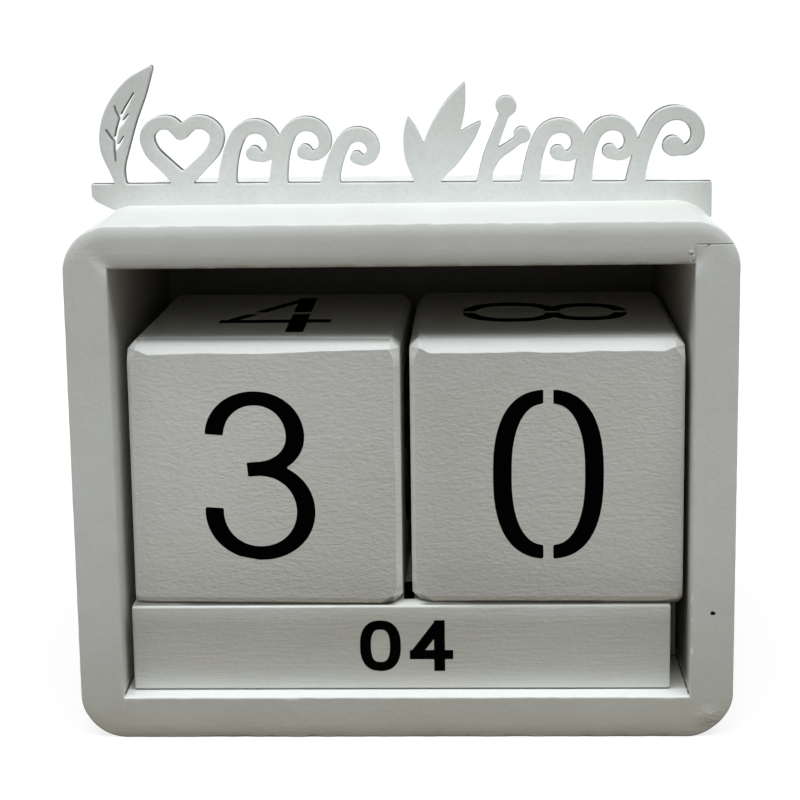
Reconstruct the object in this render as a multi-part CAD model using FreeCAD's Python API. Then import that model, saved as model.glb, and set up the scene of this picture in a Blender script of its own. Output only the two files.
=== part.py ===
import FreeCAD, Part
import math
import os
from FreeCAD import Vector

# Block calendar: an open-fronted box of glued boards with a fretwork crest let
# into its top, two number cubes, and three month bars under the cubes.
# Millimetres. +X right, front faces -Y, +Z up.
# The origin is at the bottom centre of the bounding box.

os.makedirs("parts", exist_ok=True)

# ---- driving dimensions -------------------------------------------------
WIDTH = 122.0            # outside width of the box
HEIGHT = 97.4            # outside height of the box
DEPTH = 79.0             # outside depth of the box
BOARD = 8.0              # thickness of the board that the whole box is cut from
LIP = 4.2                # what the rabbets leave of the top and bottom boards over the sides
CORNER_R = 8.5           # rounding of the four long outer corners
EDGE_R = 0.4             # easing of the outer front and back edges
INNER_EASE = 0.4         # easing of the mouth's inner edges
FRONT_TILT_UP = 18.0     # degrees that the top board's front rolls back to at its upper edge
FRONT_TILT_DOWN = 14.0   # and at its lower edge

CREST_T = 3.0            # fretwork sheet
CREST_Y = 29.05          # front of the crest, behind the front of the box
CREST_X0 = -60.95
CREST_X1 = 59.80
GROOVE = 3.5             # depth of the groove that holds the crest
RAIL_LEFT = 4.30         # height of the crest's rail above the box at its left end
RAIL_RIGHT = 3.65        # and at its right end
CREST_H = 27.2           # tip of the crest above the box

CUBE = 50.6
CUBE_CHAMFER = 1.7
CUBE_CHAMFER_TOP = 2.2   # the upper front edge is sanded further
LEFT_CUBE = (-25.75, 4.80, -1.50)    # centre x, front y behind the box front, turn in degrees
RIGHT_CUBE = (26.68, 4.95, -0.90)

BAR = 16.5               # section of a month bar, height and depth
BAR_L = 101.2
BAR_EASE = 0.45
BAR_Y = 3.6              # front of the first bar, behind the front of the box
BAR_GAP = 0.1
BAR_X0 = (-51.5, -48.45, -50.6)      # left ends: front, middle, back
LIFT = 0.05              # clearance under each loose piece

BRAD_R = 0.5
BRAD_HEAD_R = 0.8
BRAD_L = 15.0
BRAD_SET = 0.6           # heads are set this far below the surface
PIN_HOLE = (57.0, 24.1, 0.5, 1.6)    # x, z, radius, depth of a stray pin hole in the right board

Y0 = -DEPTH / 2.0        # front plane of the box
HW = WIDTH / 2.0
ZT = HEIGHT - BOARD      # underside of the top board


def box(x0, x1, y0, y1, z0, z1):
    return Part.makeBox(x1 - x0, y1 - y0, z1 - z0, Vector(x0, y0, z0))


def save(shape, node):
    if not shape.isValid():
        shape.fix(1e-4, 1e-4, 1e-3)
    print(node, "solids", len(shape.Solids), "volume", round(shape.Volume, 1), "valid", shape.isValid())
    shape.exportStep("parts/%s.step" % node)


# ---- the box's outer form: a rounded rectangle, eased front and back ----
def rounded_rect_prism(hw, z0, z1, r, y0, y1):
    b = box(-hw, hw, y0, y1, z0, z1)
    long_edges = [e for e in b.Edges
                  if abs(e.Vertexes[0].X - e.Vertexes[1].X) < 1e-6
                  and abs(e.Vertexes[0].Z - e.Vertexes[1].Z) < 1e-6]
    return b.makeFillet(r, long_edges)


envelope = rounded_rect_prism(HW, 0.0, HEIGHT, CORNER_R, Y0, Y0 + DEPTH)
rim = [e for e in envelope.Edges
       if all(abs(v.Y - Y0) < 1e-6 for v in e.Vertexes) or all(abs(v.Y - Y0 - DEPTH) < 1e-6 for v in e.Vertexes)]
envelope = envelope.makeFillet(EDGE_R, rim)

# The mouth: its four inner edges are eased, so the boards' inner front corners are rounded.
mouth = box(-HW + BOARD, HW - BOARD, Y0 - 1, Y0 + DEPTH + 1, BOARD, ZT)


def inner_ease(e):
    # a frustum that widens the mouth by e at the front plane
    p = [Vector(-HW + BOARD, Y0 + e, BOARD), Vector(HW - BOARD, Y0 + e, BOARD),
         Vector(HW - BOARD, Y0 + e, ZT), Vector(-HW + BOARD, Y0 + e, ZT)]
    k = 1.5 * e
    q = [Vector(-HW + BOARD - k, Y0 - 0.5 * e, BOARD - k), Vector(HW - BOARD + k, Y0 - 0.5 * e, BOARD - k),
         Vector(HW - BOARD + k, Y0 - 0.5 * e, ZT + k), Vector(-HW + BOARD - k, Y0 - 0.5 * e, ZT + k)]
    return Part.makeLoft([Part.makePolygon(p + [p[0]]), Part.makePolygon(q + [q[0]])], True, True)


ease = inner_ease(INNER_EASE)

# ---- top board: rolled front, rabbeted ends, groove for the crest -------
seam_top = HEIGHT - LIP
up, down = HEIGHT - seam_top, seam_top - ZT
ru = up / math.sin(math.radians(FRONT_TILT_UP))
rd = down / math.sin(math.radians(FRONT_TILT_DOWN))


def arc_y(dz, r):
    return Y0 + r - math.sqrt(r * r - dz * dz)


roll = [
    Part.LineSegment(Vector(0, Y0 + DEPTH, ZT), Vector(0, arc_y(down, rd), ZT)).toShape(),
    Part.Arc(Vector(0, arc_y(down, rd), ZT), Vector(0, arc_y(down / 2, rd), seam_top - down / 2),
             Vector(0, Y0, seam_top)).toShape(),
    Part.Arc(Vector(0, Y0, seam_top), Vector(0, arc_y(up / 2, ru), seam_top + up / 2),
             Vector(0, arc_y(up, ru), HEIGHT)).toShape(),
    Part.LineSegment(Vector(0, arc_y(up, ru), HEIGHT), Vector(0, Y0 + DEPTH, HEIGHT)).toShape(),
    Part.LineSegment(Vector(0, Y0 + DEPTH, HEIGHT), Vector(0, Y0 + DEPTH, ZT)).toShape(),
]
top = Part.Face(Part.Wire(roll)).extrude(Vector(WIDTH, 0, 0))
top.translate(Vector(-HW, 0, 0))
for s in (-1, 1):
    a, b = sorted((s * (HW - BOARD), s * (HW + 1)))
    top = top.cut(box(a, b, Y0 - 1, Y0 + DEPTH + 1, ZT - 1, seam_top))
top = top.common(envelope).cut(ease)
groove = box(-56.0, CREST_X1, Y0 + CREST_Y, Y0 + CREST_Y + CREST_T, HEIGHT - GROOVE, HEIGHT + 5)
top = top.cut(groove)

# ---- bottom board and sides ---------------------------------------------
bottom = box(-HW, HW, Y0, Y0 + DEPTH, 0, BOARD)
for s in (-1, 1):
    a, b = sorted((s * (HW - BOARD), s * (HW + 1)))
    bottom = bottom.cut(box(a, b, Y0 - 1, Y0 + DEPTH + 1, LIP, BOARD + 1))
bottom = bottom.common(envelope).cut(ease)


def side(sign):
    a, b = sorted((sign * (HW - BOARD), sign * HW))
    return box(a, b, Y0, Y0 + DEPTH, LIP, seam_top).common(envelope).cut(ease)


left, right = side(-1), side(1)

# ---- back panel, fitted between the four boards, flush at the rear ------
back = box(-HW + BOARD, HW - BOARD, Y0 + DEPTH - BOARD, Y0 + DEPTH, BOARD, ZT)

# a stray pin hole in the front edge of the right board
px, pz, pr, pd = PIN_HOLE
right = right.cut(Part.makeCylinder(pr, pd, Vector(px, Y0 - 0.1, pz), Vector(0, 1, 0)))


# ---- brads: shank with a small head, heads set below the surface --------
def brad(x, y, z, d):
    """A brad driven inward along d (+1 or -1 on X) from the outer face at x."""
    head = Part.makeCylinder(BRAD_HEAD_R, 0.6, Vector(x + d * BRAD_SET, y, z), Vector(d, 0, 0))
    shank = Part.makeCylinder(BRAD_R, BRAD_L - 1.2, Vector(x + d * BRAD_SET, y, z), Vector(d, 0, 0))
    tip = Part.makeCone(BRAD_R, 0.12, 1.2, Vector(x + d * (BRAD_SET + BRAD_L - 1.2), y, z), Vector(d, 0, 0))
    return head.fuse([shank, tip]).removeSplitter()


corner_brads, panel_brads = [], []
for s in (-1, 1):
    for yb in (Y0 + 12.0, Y0 + DEPTH - 14.0):
        for zb in (LIP + 1.9, seam_top - 1.9):
            corner_brads.append(brad(s * HW, yb, zb, -s))
    for zb in (26.0, 71.0):
        panel_brads.append(brad(s * HW, Y0 + DEPTH - BOARD / 2, zb, -s))


def bored(board, brads):
    # each brad fills its own bore, and filler closes the bore over its head
    for b in brads:
        if board.BoundBox.intersect(b.BoundBox):
            board = board.cut(b)
    return board


allb = corner_brads + panel_brads
top, bottom = bored(top, corner_brads), bored(bottom, corner_brads)
left, right = bored(left, allb), bored(right, allb)
back = bored(back, panel_brads)

save(top, "top_board")
save(bottom, "bottom_board")
save(left, "left_side_board")
save(right, "right_side_board")
save(back, "back_panel")
save(Part.makeCompound(corner_brads), "corner_brads")
save(Part.makeCompound(panel_brads), "back_panel_brads")


# ---- crest: a rail with a veined leaf, a heart, running waves, a sprig of three leaves and berries ----
def catmull(pts, n=7):
    P = [Vector(2 * pts[0][0] - pts[1][0], 0, 2 * pts[0][1] - pts[1][1])] + [Vector(a, 0, b) for a, b in pts]
    P.append(P[-1] * 2 - P[-2])
    out = []
    for i in range(1, len(P) - 2):
        p0, p1, p2, p3 = P[i - 1], P[i], P[i + 1], P[i + 2]
        for k in range(n):
            t = k / float(n)
            out.append((p1 * 2 + (p2 - p0) * t + (p0 * 2 - p1 * 5 + p2 * 4 - p3) * t * t
                        + (p1 * 3 - p0 - p2 * 3 + p3) * t ** 3) * 0.5)
    out.append(P[-2])
    return out


def stroke(pts, widths, n=7):
    """A ribbon along a smooth centre line with round ends. widths: half-widths at evenly spaced stations."""
    c = catmull(pts, n)
    L, R = [], []
    m = len(c)
    ws = catmull([(k, v) for k, v in enumerate(widths)], 16)
    for i, p in enumerate(c):
        d = c[min(i + 1, m - 1)] - c[max(i - 1, 0)]
        d.normalize()
        nrm = Vector(-d.z, 0, d.x)
        u = i / float(m - 1) * (len(ws) - 1)
        j = min(int(u), len(ws) - 2)
        w = ws[j].z * (1 - (u - j)) + ws[j + 1].z * (u - j)
        L.append(p + nrm * w)
        R.append(p - nrm * w)
    d0 = (c[0] - c[1]); d0.normalize()
    d1 = (c[-1] - c[-2]); d1.normalize()
    left_c = Part.BSplineCurve(); left_c.interpolate(L)
    right_c = Part.BSplineCurve(); right_c.interpolate(R[::-1])
    cap1 = Part.Arc(L[-1], c[-1] + d1 * widths[-1], R[-1])
    cap0 = Part.Arc(R[0], c[0] + d0 * widths[0], L[0])
    w = Part.Wire([left_c.toShape(), cap1.toShape(), right_c.toShape(), cap0.toShape()])
    return plate(w)


def plate(wire):
    s = Part.Face(wire).extrude(Vector(0, CREST_T, 0))
    s.translate(Vector(0, Y0 + CREST_Y, HEIGHT))
    return s


def leaf(x0, z0, x1, z1, half, bow):
    """A pointed leaf from its foot to its tip, bowed to the left of that line."""
    a, b = Vector(x0, 0, z0), Vector(x1, 0, z1)
    d = b - a
    n = Vector(-d.z, 0, d.x); n.normalize()
    line = [a, a + d * 0.22 + n * (0.7 * bow), a + d * 0.45 + n * bow, a + d * 0.75 + n * (0.6 * bow), b]
    return stroke([(p.x, p.z) for p in line], [0.5 * half + 0.3, 0.86 * half, half, 0.72 * half, 0.28])


def disc(x, z, r):
    return plate(Part.Wire([Part.Circle(Vector(x, 0, z), Vector(0, -1, 0), r).toShape()]))


def wave(x, z, w, h, r):
    """A scroll that rises from the rail, rolls over to the right and ends in a berry."""
    R, cx, cz = 0.36 * h, x + 0.64 * w, z + 0.60 * h
    a0, a1 = math.radians(150), math.radians(-122)
    p0 = (x, z - 0.03 * h)
    p1 = (cx + R * math.cos(a0), cz + R * math.sin(a0))
    L = math.hypot(p1[0] - p0[0], p1[1] - p0[1])
    t0, t1 = (0.10 * L, L), (math.sin(a0) * L, -math.cos(a0) * L)
    pts = []
    for k in range(7):
        t = k / 7.0
        pts.append(tuple(p0[i] * (2 * t ** 3 - 3 * t * t + 1) + t0[i] * (t ** 3 - 2 * t * t + t)
                         + p1[i] * (3 * t * t - 2 * t ** 3) + t1[i] * (t ** 3 - t * t) for i in (0, 1)))
    for k in range(15):
        t = k / 14.0
        q, rr = a0 + (a1 - a0) * t, R * (1 - 0.64 * t ** 1.25)
        pts.append((cx + rr * math.cos(q), cz + rr * math.sin(q)))
    return [stroke(pts, [1.85, 1.6, 1.5, 1.45, 1.35, 1.2, 1.0, 0.9], 2), disc(pts[-1][0], pts[-1][1], r)]


motifs = [
    # tall leaf on a narrow stalk
    stroke([(-55.0, 3.5), (-55.9, 7.4), (-56.1, 12.2), (-54.8, 17.4), (-52.0, 22.5), (-48.7, CREST_H - 0.45)],
           [0.9, 1.5, 2.9, 3.2, 2.4, 0.45]),
    # heart
    stroke([(-42.9, 4.3), (-46.0, 7.5), (-48.9, 10.6), (-49.7, 13.7), (-47.9, 15.8), (-45.2, 16.0), (-43.1, 14.1)],
           [1.7, 1.4, 1.35, 1.35, 1.35, 1.35, 1.3]),
    stroke([(-43.3, 4.3), (-39.8, 7.5), (-36.9, 10.6), (-36.1, 13.7), (-37.9, 15.8), (-40.6, 16.0), (-43.1, 14.1)],
           [1.7, 1.4, 1.35, 1.35, 1.35, 1.35, 1.3]),
    # sprig of three leaves
    leaf(4.6, 3.2, 12.0, 22.9, 3.0, 0.4),
    leaf(4.0, 3.6, 1.1, 16.3, 2.1, 0.2),
    leaf(5.2, 3.9, 15.0, 15.4, 2.1, 0.35),
    # berries on a forked stalk
    stroke([(15.8, 3.4), (16.6, 8.1), (18.1, 12.7), (19.9, 17.3)], [1.5, 1.2, 1.0, 0.9]),
    disc(20.1, 18.6, 2.0),
    stroke([(16.4, 6.2), (18.1, 8.9), (20.8, 10.8), (22.8, 12.3)], [1.1, 1.0, 0.9, 0.8]),
    disc(23.2, 13.0, 1.6),
]
motifs += wave(-34.4, 4.1, 9.7, 12.0, 1.45) + wave(-24.4, 4.1, 9.7, 12.4, 1.45) + wave(-14.2, 4.0, 9.2, 10.2, 1.2)
motifs += wave(24.7, 3.6, 9.7, 12.0, 1.45) + wave(34.8, 3.5, 9.7, 12.5, 1.45) + wave(45.0, 3.4, 13.0, 14.6, 2.0)
# the leaf's sawn veins: a long one and two pairs that branch from it
veins = [
    stroke([(-56.0, 8.6), (-55.9, 12.8), (-54.6, 17.3), (-51.9, 22.0)], [0.10, 0.34, 0.34, 0.10]),
    stroke([(-56.0, 10.9), (-55.1, 12.1), (-54.2, 13.6)], [0.26, 0.26, 0.10]),
    stroke([(-55.9, 12.6), (-56.8, 13.6), (-57.6, 15.0)], [0.26, 0.26, 0.10]),
    stroke([(-55.3, 15.3), (-54.2, 16.4), (-53.1, 17.9)], [0.26, 0.26, 0.10]),
    stroke([(-54.8, 17.0), (-55.4, 18.2), (-55.8, 19.6)], [0.26, 0.26, 0.10]),
]

rail = Part.Face(Part.makePolygon([
    Vector(CREST_X0, 0, RAIL_LEFT), Vector(CREST_X0, 0, 1.9), Vector(-60.1, 0, 0.9), Vector(-56.4, 0, -1.0),
    Vector(-56.0, 0, -GROOVE), Vector(CREST_X1 - 0.5, 0, -GROOVE), Vector(CREST_X1, 0, -GROOVE + 0.3),
    Vector(CREST_X1, 0, RAIL_RIGHT), Vector(CREST_X0, 0, RAIL_LEFT)])).extrude(Vector(0, CREST_T, 0))
rail.translate(Vector(0, Y0 + CREST_Y, HEIGHT))

crest = rail.fuse(motifs).cut(veins).removeSplitter()
# The rail is scribed to the rounded corners of the box, so it only meets the board in the groove.
crest = crest.cut(top)
crest = max(crest.Solids, key=lambda s: s.Volume)
save(crest, "crest_fretwork")


# ---- number cubes -------------------------------------------------------
def day_cube(spec):
    cx, yf, turn = spec
    c = box(-CUBE / 2, CUBE / 2, 0, CUBE, 0, CUBE)

    def upper_front(e):
        return all(v.Y < 1e-6 and v.Z > CUBE - 1e-6 for v in e.Vertexes)
    c = c.makeChamfer(CUBE_CHAMFER, [e for e in c.Edges if not upper_front(e)])
    y_edge = [e for e in c.Edges if all(v.Y < 1e-6 and v.Z > CUBE - 1e-6 for v in e.Vertexes)]
    if y_edge:
        c = c.makeChamfer(CUBE_CHAMFER_TOP, y_edge)
    c.rotate(Vector(0, 0, 0), Vector(0, 0, 1), turn)
    c.translate(Vector(cx, Y0 + yf, BOARD + LIFT + BAR + LIFT))
    return c


save(day_cube(LEFT_CUBE), "left_day_cube")
save(day_cube(RIGHT_CUBE), "right_day_cube")


# ---- month bars ---------------------------------------------------------
def month_bar(i):
    y = Y0 + BAR_Y + i * (BAR + BAR_GAP)
    b = box(BAR_X0[i], BAR_X0[i] + BAR_L, y, y + BAR, BOARD + LIFT, BOARD + LIFT + BAR)
    return b.makeFillet(BAR_EASE, b.Edges)


for i, node in enumerate(("month_bar_front", "month_bar_middle", "month_bar_back")):
    save(month_bar(i), node)
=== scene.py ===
import math

import bmesh
import bpy
import numpy as np
from mathutils import Matrix, Vector


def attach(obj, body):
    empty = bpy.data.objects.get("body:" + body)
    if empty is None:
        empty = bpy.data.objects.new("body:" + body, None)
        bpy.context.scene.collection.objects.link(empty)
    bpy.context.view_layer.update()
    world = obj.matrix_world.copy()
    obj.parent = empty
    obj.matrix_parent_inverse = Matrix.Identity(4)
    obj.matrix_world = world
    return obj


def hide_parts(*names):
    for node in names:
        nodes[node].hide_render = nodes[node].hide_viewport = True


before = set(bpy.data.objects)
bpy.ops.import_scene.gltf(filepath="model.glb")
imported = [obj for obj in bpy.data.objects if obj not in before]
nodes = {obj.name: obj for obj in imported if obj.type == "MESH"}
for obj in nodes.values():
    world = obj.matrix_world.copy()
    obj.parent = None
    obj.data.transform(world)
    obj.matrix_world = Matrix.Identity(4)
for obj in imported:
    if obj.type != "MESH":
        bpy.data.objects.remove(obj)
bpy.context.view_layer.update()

# --------------------------------------------------------------------------------------------
# Sizes, in millimetres, as the CAD has them
# --------------------------------------------------------------------------------------------
MM = 0.001
Y0 = -39.5               # front plane of the box
BOARD = 8.0
HEIGHT = 97.4
LIP = 4.2
CUBE = 50.6
CUBE_Z = 24.6
LEFT_CUBE = (-25.75, 4.80, -1.50)
RIGHT_CUBE = (26.68, 4.95, -0.90)
BAR = 16.5
BAR_L = 101.2
BAR_Z = 8.05
BARS = {"front": (-51.5, 3.6), "middle": (-48.45, 20.2), "back": (-50.6, 36.8)}
FILM = 0.018             # numeral paint stands this far off the surface
FILM_DEEP = 0.05         # and its underside is this far inside it
rng = np.random.RandomState(11)


# --------------------------------------------------------------------------------------------
# Numerals: strokes with flat ends, merged as one outline
# --------------------------------------------------------------------------------------------
def arc(cx, cz, a, bt, bb, t0, t1, power=2.0, steps=90):
    t = np.radians(np.linspace(t0, t1, steps))
    c, s = np.cos(t), np.sin(t)
    e = 2.0 / power
    x = cx + a * np.sign(c) * np.abs(c) ** e
    b = np.where(s >= 0, bt, bb)
    z = cz + b * np.sign(s) * np.abs(s) ** e
    return np.stack([x, z], 1)


def strokes_of(ch):
    """Centre lines in a square from -1 to 1. A closed stroke starts where it ends."""
    if ch == "0":
        return [("loop", arc(0, 0, 1, 1, 1, 0, 360, 2.5, 181))]
    if ch == "1":
        return [("line", [(0.18, 1.0), (0.18, -1.0)], "ends"),
                ("line", [(0.20, 0.92), (-0.56, 0.50)], "")]
    if ch == "2":
        top = arc(0.0, 0.45, 0.95, 0.55, 0.52, 172, -28, 2.05, 70)
        return [("line", np.vstack([top, [(0.55, -0.04), (0.12, -0.35), (-0.42, -0.70), (-0.88, -1.0)]]), "smooth"),
                ("line", [(-1.0, -1.0), (1.0, -1.0)], "wide")]
    if ch == "3":
        up = arc(-0.09, 0.508, 0.89, 0.492, 0.412, 177, -90, 2.05, 90)
        lo = arc(0.0, -0.453, 1.008, 0.547, 0.547, 90, -184.5, 2.05, 110)
        return [("line", np.vstack([up, [(-0.26, 0.084)]]), ""),
                ("line", np.vstack([[(-0.26, 0.084)], lo]), "")]
    if ch == "4":
        return [("line", [(0.50, 1.0), (0.50, -1.0)], "ends"),
                ("line", [(-1.0, -0.43), (1.0, -0.43)], "wide"),
                ("line", [(-0.97, -0.39), (0.41, 0.97)], "thin")]
    if ch == "5":
        bowl = arc(-0.02, -0.36, 1.0, 0.64, 0.64, 118, -176, 2.1, 100)
        return [("line", [(-0.62, 1.0), (0.86, 1.0)], "wide"),
                ("line", [(-0.62, 1.04), (-0.80, 0.02)], ""),
                ("line", np.vstack([[(-0.80, 0.02)], bowl[4:]]), "smooth")]
    if ch in "69":
        bowl = arc(0.0, -0.42, 1.0, 0.58, 0.58, 0, 360, 2.15, 181)
        back = np.vstack([arc(0.30, 0.0, 1.30, 1.0, 1.0, 58, 178, 2.0, 60), [(-1.0, -0.42)]])
        out = [("loop", bowl), ("line", back, "smooth")]
        if ch == "9":
            out = [(k[0], -np.asarray(k[1], float)) + tuple(k[2:]) for k in out]
        return out
    if ch == "7":
        return [("line", [(-1.0, 1.0), (0.97, 1.0)], "wide"),
                ("line", [(0.90, 1.02), (0.42, 0.30), (0.02, -0.42), (-0.20, -1.0)], "curve ends")]
    if ch == "8":
        return [("loop", arc(0, 0.552, 0.86, 0.448, 0.448, 0, 360, 2.2, 181)),
                ("loop", arc(0, -0.448, 1.0, 0.552, 0.552, 0, 360, 2.2, 181))]
    raise ValueError(ch)


def resample(p, n):
    p = np.asarray(p, float)
    d = np.r_[0, np.cumsum(np.hypot(*np.diff(p, axis=0).T))]
    t = np.linspace(0, d[-1], n)
    return np.stack([np.interp(t, d, p[:, 0]), np.interp(t, d, p[:, 1])], 1)


def rounded(p, passes):
    p = resample(p, 60)
    for _ in range(passes):
        q = p.copy()
        q[1:-1] = (p[:-2] + 2 * p[1:-1] + p[2:]) / 4
        p = q
    return p


def polygon_distance(poly, X, Z):
    """Signed distance to a closed polygon, negative inside."""
    best = np.full(X.shape, 1e9)
    inside = np.zeros(X.shape, bool)
    n = len(poly)
    for i in range(n):
        x0, z0 = poly[i]
        x1, z1 = poly[(i + 1) % n]
        dx, dz = x1 - x0, z1 - z0
        ll = dx * dx + dz * dz
        if ll < 1e-14:
            continue
        t = np.clip(((X - x0) * dx + (Z - z0) * dz) / ll, 0, 1)
        best = np.minimum(best, (X - x0 - t * dx) ** 2 + (Z - z0 - t * dz) ** 2)
        if z0 != z1:
            hit = ((z0 > Z) != (z1 > Z)) & (X < (x1 - x0) * (Z - z0) / (z1 - z0) + x0)
            inside ^= hit
    d = np.sqrt(best)
    return np.where(inside, -d, d)


def offset(line, sv, sh, closed=False):
    """Both sides of a stroke that is sv wide where it runs upright and sh where it lies flat."""
    p = np.asarray(line, float)
    if closed:
        p = p[:-1]
        t = np.roll(p, -1, 0) - np.roll(p, 1, 0)
    else:
        t = np.gradient(p, axis=0)
    t /= np.maximum(np.hypot(t[:, 0], t[:, 1]), 1e-9)[:, None]
    hw = 0.5 * np.sqrt((sv * t[:, 1]) ** 2 + (sh * t[:, 0]) ** 2)
    nrm = np.stack([-t[:, 1], t[:, 0]], 1) * hw[:, None]
    return p + nrm, p - nrm


def digit_field(ch, w, h, sv, sh, gap, X, Z, cx=0.0, cz=0.0):
    ax, az = (w - sv) / 2, (h - sh) / 2
    X, Z = X - cx, Z - cz
    f = np.full(X.shape, 1e9)
    for s in strokes_of(ch):
        p = np.asarray(s[1], float) * (ax, az)
        if s[0] == "loop":
            a, b = offset(p, sv, sh, True)
            da, db = polygon_distance(a, X, Z), polygon_distance(b, X, Z)
            if abs(a).max() > abs(b).max():
                g = np.maximum(da, -db)
            else:
                g = np.maximum(db, -da)
        else:
            kind = s[2]
            if "smooth" in kind:
                p = resample(p, 120)
                for _ in range(14):
                    q = p.copy()
                    q[1:-1] = (p[:-2] + 2 * p[1:-1] + p[2:]) / 4
                    p = q
            elif "curve" in kind:
                p = rounded(p, 160)
            if "ends" in kind:          # upright stems run to the full height
                p = p.copy()
                for i in (0, -1):
                    if abs(p[i, 1]) > 0.8 * az:
                        p[i, 1] = math.copysign(h / 2, p[i, 1])
            if "wide" in kind:          # flat strokes run to the full width
                p = p.copy()
                for i in (0, -1):
                    if abs(p[i, 0]) > 0.93 * ax:
                        p[i, 0] = math.copysign(w / 2, p[i, 0])
            if len(p) == 2:
                p = resample(p, 12)
            slim = 0.62 if "thin" in kind and gap else 1.0
            a, b = offset(p, sv * slim, sh * slim)
            g = polygon_distance(np.vstack([a, b[::-1]]), X, Z)
        f = np.minimum(f, g)
    f = np.maximum(f, np.maximum(np.abs(X) - w / 2 - 0.02 * w, np.abs(Z) - h / 2))
    if gap and ch in "0":
        f = np.maximum(f, gap / 2 - np.abs(X))
    if gap and ch in "8":
        f = np.maximum(f, gap / 2 - np.abs(X))
    if gap and ch in "69":
        z = -1 if ch == "9" else 1
        cut = np.maximum(np.abs(X) - gap / 2, z * Z - 0.35 * az)
        f = np.maximum(f, -cut)
    if gap and ch in "4":
        f = np.maximum(f, 1.1 - np.abs(Z - 0.036 * h))
    return f


def contours(F, x0, z0, step):
    """Closed outlines of F = 0, as lists of points, by marching squares."""
    nz, nx = F.shape
    F = np.where(F == 0, 1e-9, F)
    s = F < 0
    cell = s[:-1, :-1] * 1 + s[:-1, 1:] * 2 + s[1:, 1:] * 4 + s[1:, :-1] * 8
    table = {1: [(3, 0)], 2: [(0, 1)], 3: [(3, 1)], 4: [(1, 2)], 5: [(3, 2), (1, 0)], 6: [(0, 2)], 7: [(3, 2)],
             8: [(2, 3)], 9: [(2, 0)], 10: [(2, 1), (0, 3)], 11: [(2, 1)], 12: [(1, 3)], 13: [(1, 0)], 14: [(0, 3)]}

    def key(i, j, e):
        return {0: (i, j, 0), 1: (i, j + 1, 1), 2: (i + 1, j, 0), 3: (i, j, 1)}[e]

    def point(k):
        i, j, d = k
        a = F[i, j]
        b = F[i, j + 1] if d == 0 else F[i + 1, j]
        t = a / (a - b)
        return (x0 + (j + (t if d == 0 else 0)) * step, z0 + (i + (t if d == 1 else 0)) * step)

    nxt = {}
    for i, j in zip(*np.nonzero((cell > 0) & (cell < 15))):
        for a, b in table[int(cell[i, j])]:
            nxt[key(i, j, a)] = key(i, j, b)
    loops = []
    while nxt:
        k0 = next(iter(nxt))
        k, pts = k0, []
        while k in nxt:
            pts.append(point(k))
            k = nxt.pop(k)
        if len(pts) > 8:
            loops.append(np.array(pts))
    return loops


def tidy(loop, tol):
    """Drops the points that lie on a straight run, and those that nearly coincide."""
    keep = [loop[0]]
    for p in loop[1:]:
        if np.hypot(*(p - keep[-1])) > tol * 2.2:
            keep.append(p)
    p = np.array(keep)
    out = []
    n = len(p)
    for i in range(n):
        a, b, c = p[i - 1], p[i], p[(i + 1) % n]
        if out:
            a = out[-1]
        u = c - a
        L = np.hypot(*u)
        dist = abs(u[0] * (b - a)[1] - u[1] * (b - a)[0]) / max(L, 1e-9)
        if dist > tol * 0.06 or L > 1.2:
            out.append(b)
    return np.array(out)


_outlines = {}


def numeral(text, w, h, sv, sh, gap, pitch=0.0):
    """Outlines of a number, centred, in mm."""
    key = (text, w, h, sv, sh, gap, pitch)
    if key not in _outlines:
        step = h / 230.0
        total = pitch * (len(text) - 1) + w
        xs = np.arange(-total / 2 - 1.0, total / 2 + 1.0, step)
        zs = np.arange(-h / 2 - 0.8, h / 2 + 0.8, step)
        X, Z = np.meshgrid(xs, zs)
        F = np.full(X.shape, 1e9)
        for i, ch in enumerate(text):
            wide = w * (1.06 if ch == "4" else 1.0)
            F = np.minimum(F, digit_field(ch, wide, h, sv, sh, gap, X, Z, pitch * (i - (len(text) - 1) / 2.0)))
        _outlines[key] = [tidy(l, step) for l in contours(F, xs[0], zs[0], step)]
    return _outlines[key]


def film(name, outlines):
    """outlines: list of (loops, centre u v, quarter turns, place) where place maps u, v, w in mm to the row frame in mm."""
    bm = bmesh.new()
    for loops, (cu, cv), turn, place in outlines:
        c, s = math.cos(turn), math.sin(turn)
        tops, bottoms, edges = [], [], []
        for loop in loops:
            t = [bm.verts.new(Vector(place(cu + c * x - s * z, cv + s * x + c * z, FILM)) * MM) for x, z in loop]
            b = [bm.verts.new(Vector(place(cu + c * x - s * z, cv + s * x + c * z, -FILM_DEEP)) * MM) for x, z in loop]
            tops.append(t)
            bottoms.append(b)
            for i in range(len(t)):
                edges.append(bm.edges.new((t[i], t[(i + 1) % len(t)])))
        normal = (Vector(place(0, 0, 1)) - Vector(place(0, 0, 0))).normalized()
        made = bmesh.ops.triangle_fill(bm, use_beauty=True, use_dissolve=False, edges=edges, normal=normal)
        faces = [f for f in made["geom"] if isinstance(f, bmesh.types.BMFace)]
        link = {}
        for t, b in zip(tops, bottoms):
            for u, v in zip(t, b):
                link[u] = v
        for f in faces:
            f.normal_update()
            if f.normal.dot(normal) < 0:
                f.normal_flip()
        for f in faces:
            bm.faces.new([link[v] for v in reversed(f.verts)])
        for t, b in zip(tops, bottoms):
            for i in range(len(t)):
                j = (i + 1) % len(t)
                bm.faces.new((t[i], b[i], b[j], t[j]))
    bmesh.ops.recalc_face_normals(bm, faces=bm.faces[:])
    me = bpy.data.meshes.new(name)
    bm.to_mesh(me)
    bm.free()
    ob = bpy.data.objects.new(name, me)
    bpy.context.scene.collection.objects.link(ob)
    return ob


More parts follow.
